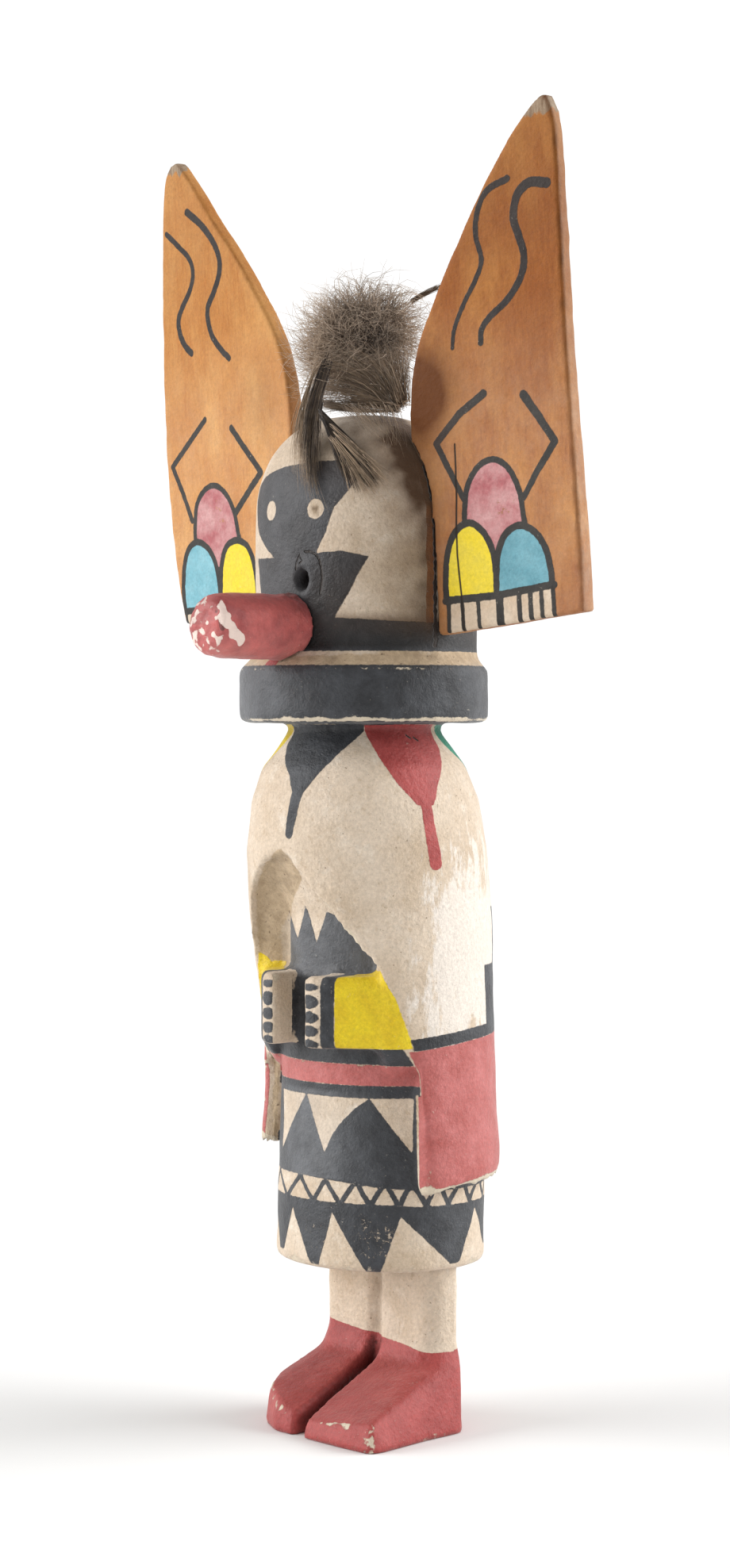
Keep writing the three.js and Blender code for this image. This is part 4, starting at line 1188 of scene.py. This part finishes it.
def downCore():  # the dense heart of the down, seen only between the barbs
    core = bpy.data.meshes.new("down_core")
    shell = bmesh.new()
    bmesh.ops.create_icosphere(shell, subdivisions=4, radius=1)
    shell.to_mesh(core)
    shell.free()
    ball = (pointsOf(core) + middle) * mm
    ball = ball * down["core"] * (1 + 0.16 * lumps(ball, 0.4, 31))[:, None]
    setPoints(core, (ball + np.array(down["centre"])) @ diagonal)
    writeFields(core, {"barbShade": 0.1 + 0.2 * lumps(ball, 2, 32)})
    core.shade_smooth()
    return core


def featherMaterial(name, dark, light, roughness):  # keratin barbs: soft brown-grey, slightly silky
    material, add, place = emptyMaterial(name)
    shade = add("Attribute", {"attribute_name": "barbShade"}, "Fac")
    shade = scattered(add, place, grit(2.2, 3.0), 0.5, shade)
    shade = add("MapRange", {"Value": shade, "From Min": 0.1, "From Max": 1.25})
    rough = patches(add, place, grit(1.0, 3.0), 0.2, 0.8, roughness - 0.08, roughness + 0.1)
    finishMaterial(add, twoColours(add, shade, (dark, light)), rough,
                   scattered(add, place, grit(0.2, 2.0), 1.0, 0.0), (0.3, 0.1 * mm),
                   {"IOR": 1.55, "Specular IOR Level": 0.3, "Sheen Weight": 0.1})
    return material


def makeFeathers():
    downBarbs = featherMaterial("downBarbs", "#21160f", "#bea892", 0.6)
    featherVane = featherMaterial("featherVane", "#1d110a", "#c0a68a", 0.5)
    ball = strandMesh("down_ball", *downPaths())
    addPiece("down_ball", ball, ("down_tuft",))
    ball.materials.append(downBarbs)
    for name, (members, node) in vanes.items():
        made = [bundlePaths(bundles[key]) for key in members]
        vane = strandMesh(name, *[np.concatenate(parts) for parts in zip(*made)])
        addPiece(name, vane, (node,))
        vane.materials.append(featherVane)
    core = downCore()
    addPiece("down_core", core, ())
    core.materials.append(downBarbs)


makeFeathers()
print("feathers set")


view = {"turn": 45.27, "distance": 749.3, "height": 168.2, "aim": 151.4, "lens": 72.7}
studio = {
    "sky": 0.47, "backdrop": 1.05, "paper": "#efefee", "floorReach": 6.0,
    "lamps": [  # name, turn round the doll, height angle, strength, softness in degrees
        ("leftSoftbox", -42, 18, 3.2, 50), ("rightSoftbox", 136, 26, 3.2, 50)],
}


def toward(turn, up=0.0):  # a direction round the doll, in degrees
    turn, up = math.radians(turn), math.radians(up)
    return Vector((math.sin(turn) * math.cos(up), -math.cos(turn) * math.cos(up), math.sin(up)))


def addToScene(name, data):
    thing = bpy.data.objects.new(name, data)
    bpy.context.scene.collection.objects.link(thing)
    return thing


def setCamera():
    foot = Vector(middle * mm)
    lens = bpy.data.cameras.new("camera")
    lens.lens, lens.sensor_width = view["lens"], 36
    camera = addToScene("camera", lens)
    camera.location = foot + (toward(view["turn"]) * view["distance"] + Vector((0, 0, view["height"]))) * mm
    aim = foot + Vector((0, 0, view["aim"] * mm))
    camera.rotation_euler = (aim - camera.location).to_track_quat("-Z", "Y").to_euler()
    bpy.context.scene.camera = camera


def setFloor():
    reach = studio["floorReach"]
    mesh = bpy.data.meshes.new("floor")
    mesh.from_pydata([(-reach, -reach, 0), (reach, -reach, 0), (reach, reach, 0), (-reach, reach, 0)],
                     [], [(0, 1, 2, 3)])
    floor = addToScene("floor", mesh)
    floor.location.z = -0.2 * mm
    paper = bpy.data.materials.new("matteWhitePaper")
    paper.use_nodes = True
    finish = paper.node_tree.nodes["Principled BSDF"].inputs
    finish["Base Color"].default_value = colour(studio["paper"])
    finish["Roughness"].default_value = 0.95
    mesh.materials.append(paper)


def setLight():
    world = bpy.data.worlds.new("studio")
    world.use_nodes = True
    tree, sky = world.node_tree, studio["sky"]
    seen = addNode(tree, "LightPath", {}, "Is Camera Ray")  # the paper behind is burnt out white
    strength = addNode(tree, "Math", {"operation": "MULTIPLY_ADD", 0: seen, 1: studio["backdrop"] - sky,
                                      2: sky})
    tree.nodes["Background"].inputs["Color"].default_value = (1, 1, 1, 1)
    tree.links.new(strength, tree.nodes["Background"].inputs["Strength"])
    bpy.context.scene.world = world
    for name, turn, up, power, softness in studio["lamps"]:
        lamp = bpy.data.lights.new(name, "SUN")
        lamp.energy, lamp.angle = power, math.radians(softness)
        addToScene(name, lamp).rotation_euler = toward(turn, up).to_track_quat("Z", "Y").to_euler()


bpy.context.scene.view_settings.view_transform = "Standard"
setCamera()
setFloor()
setLight()
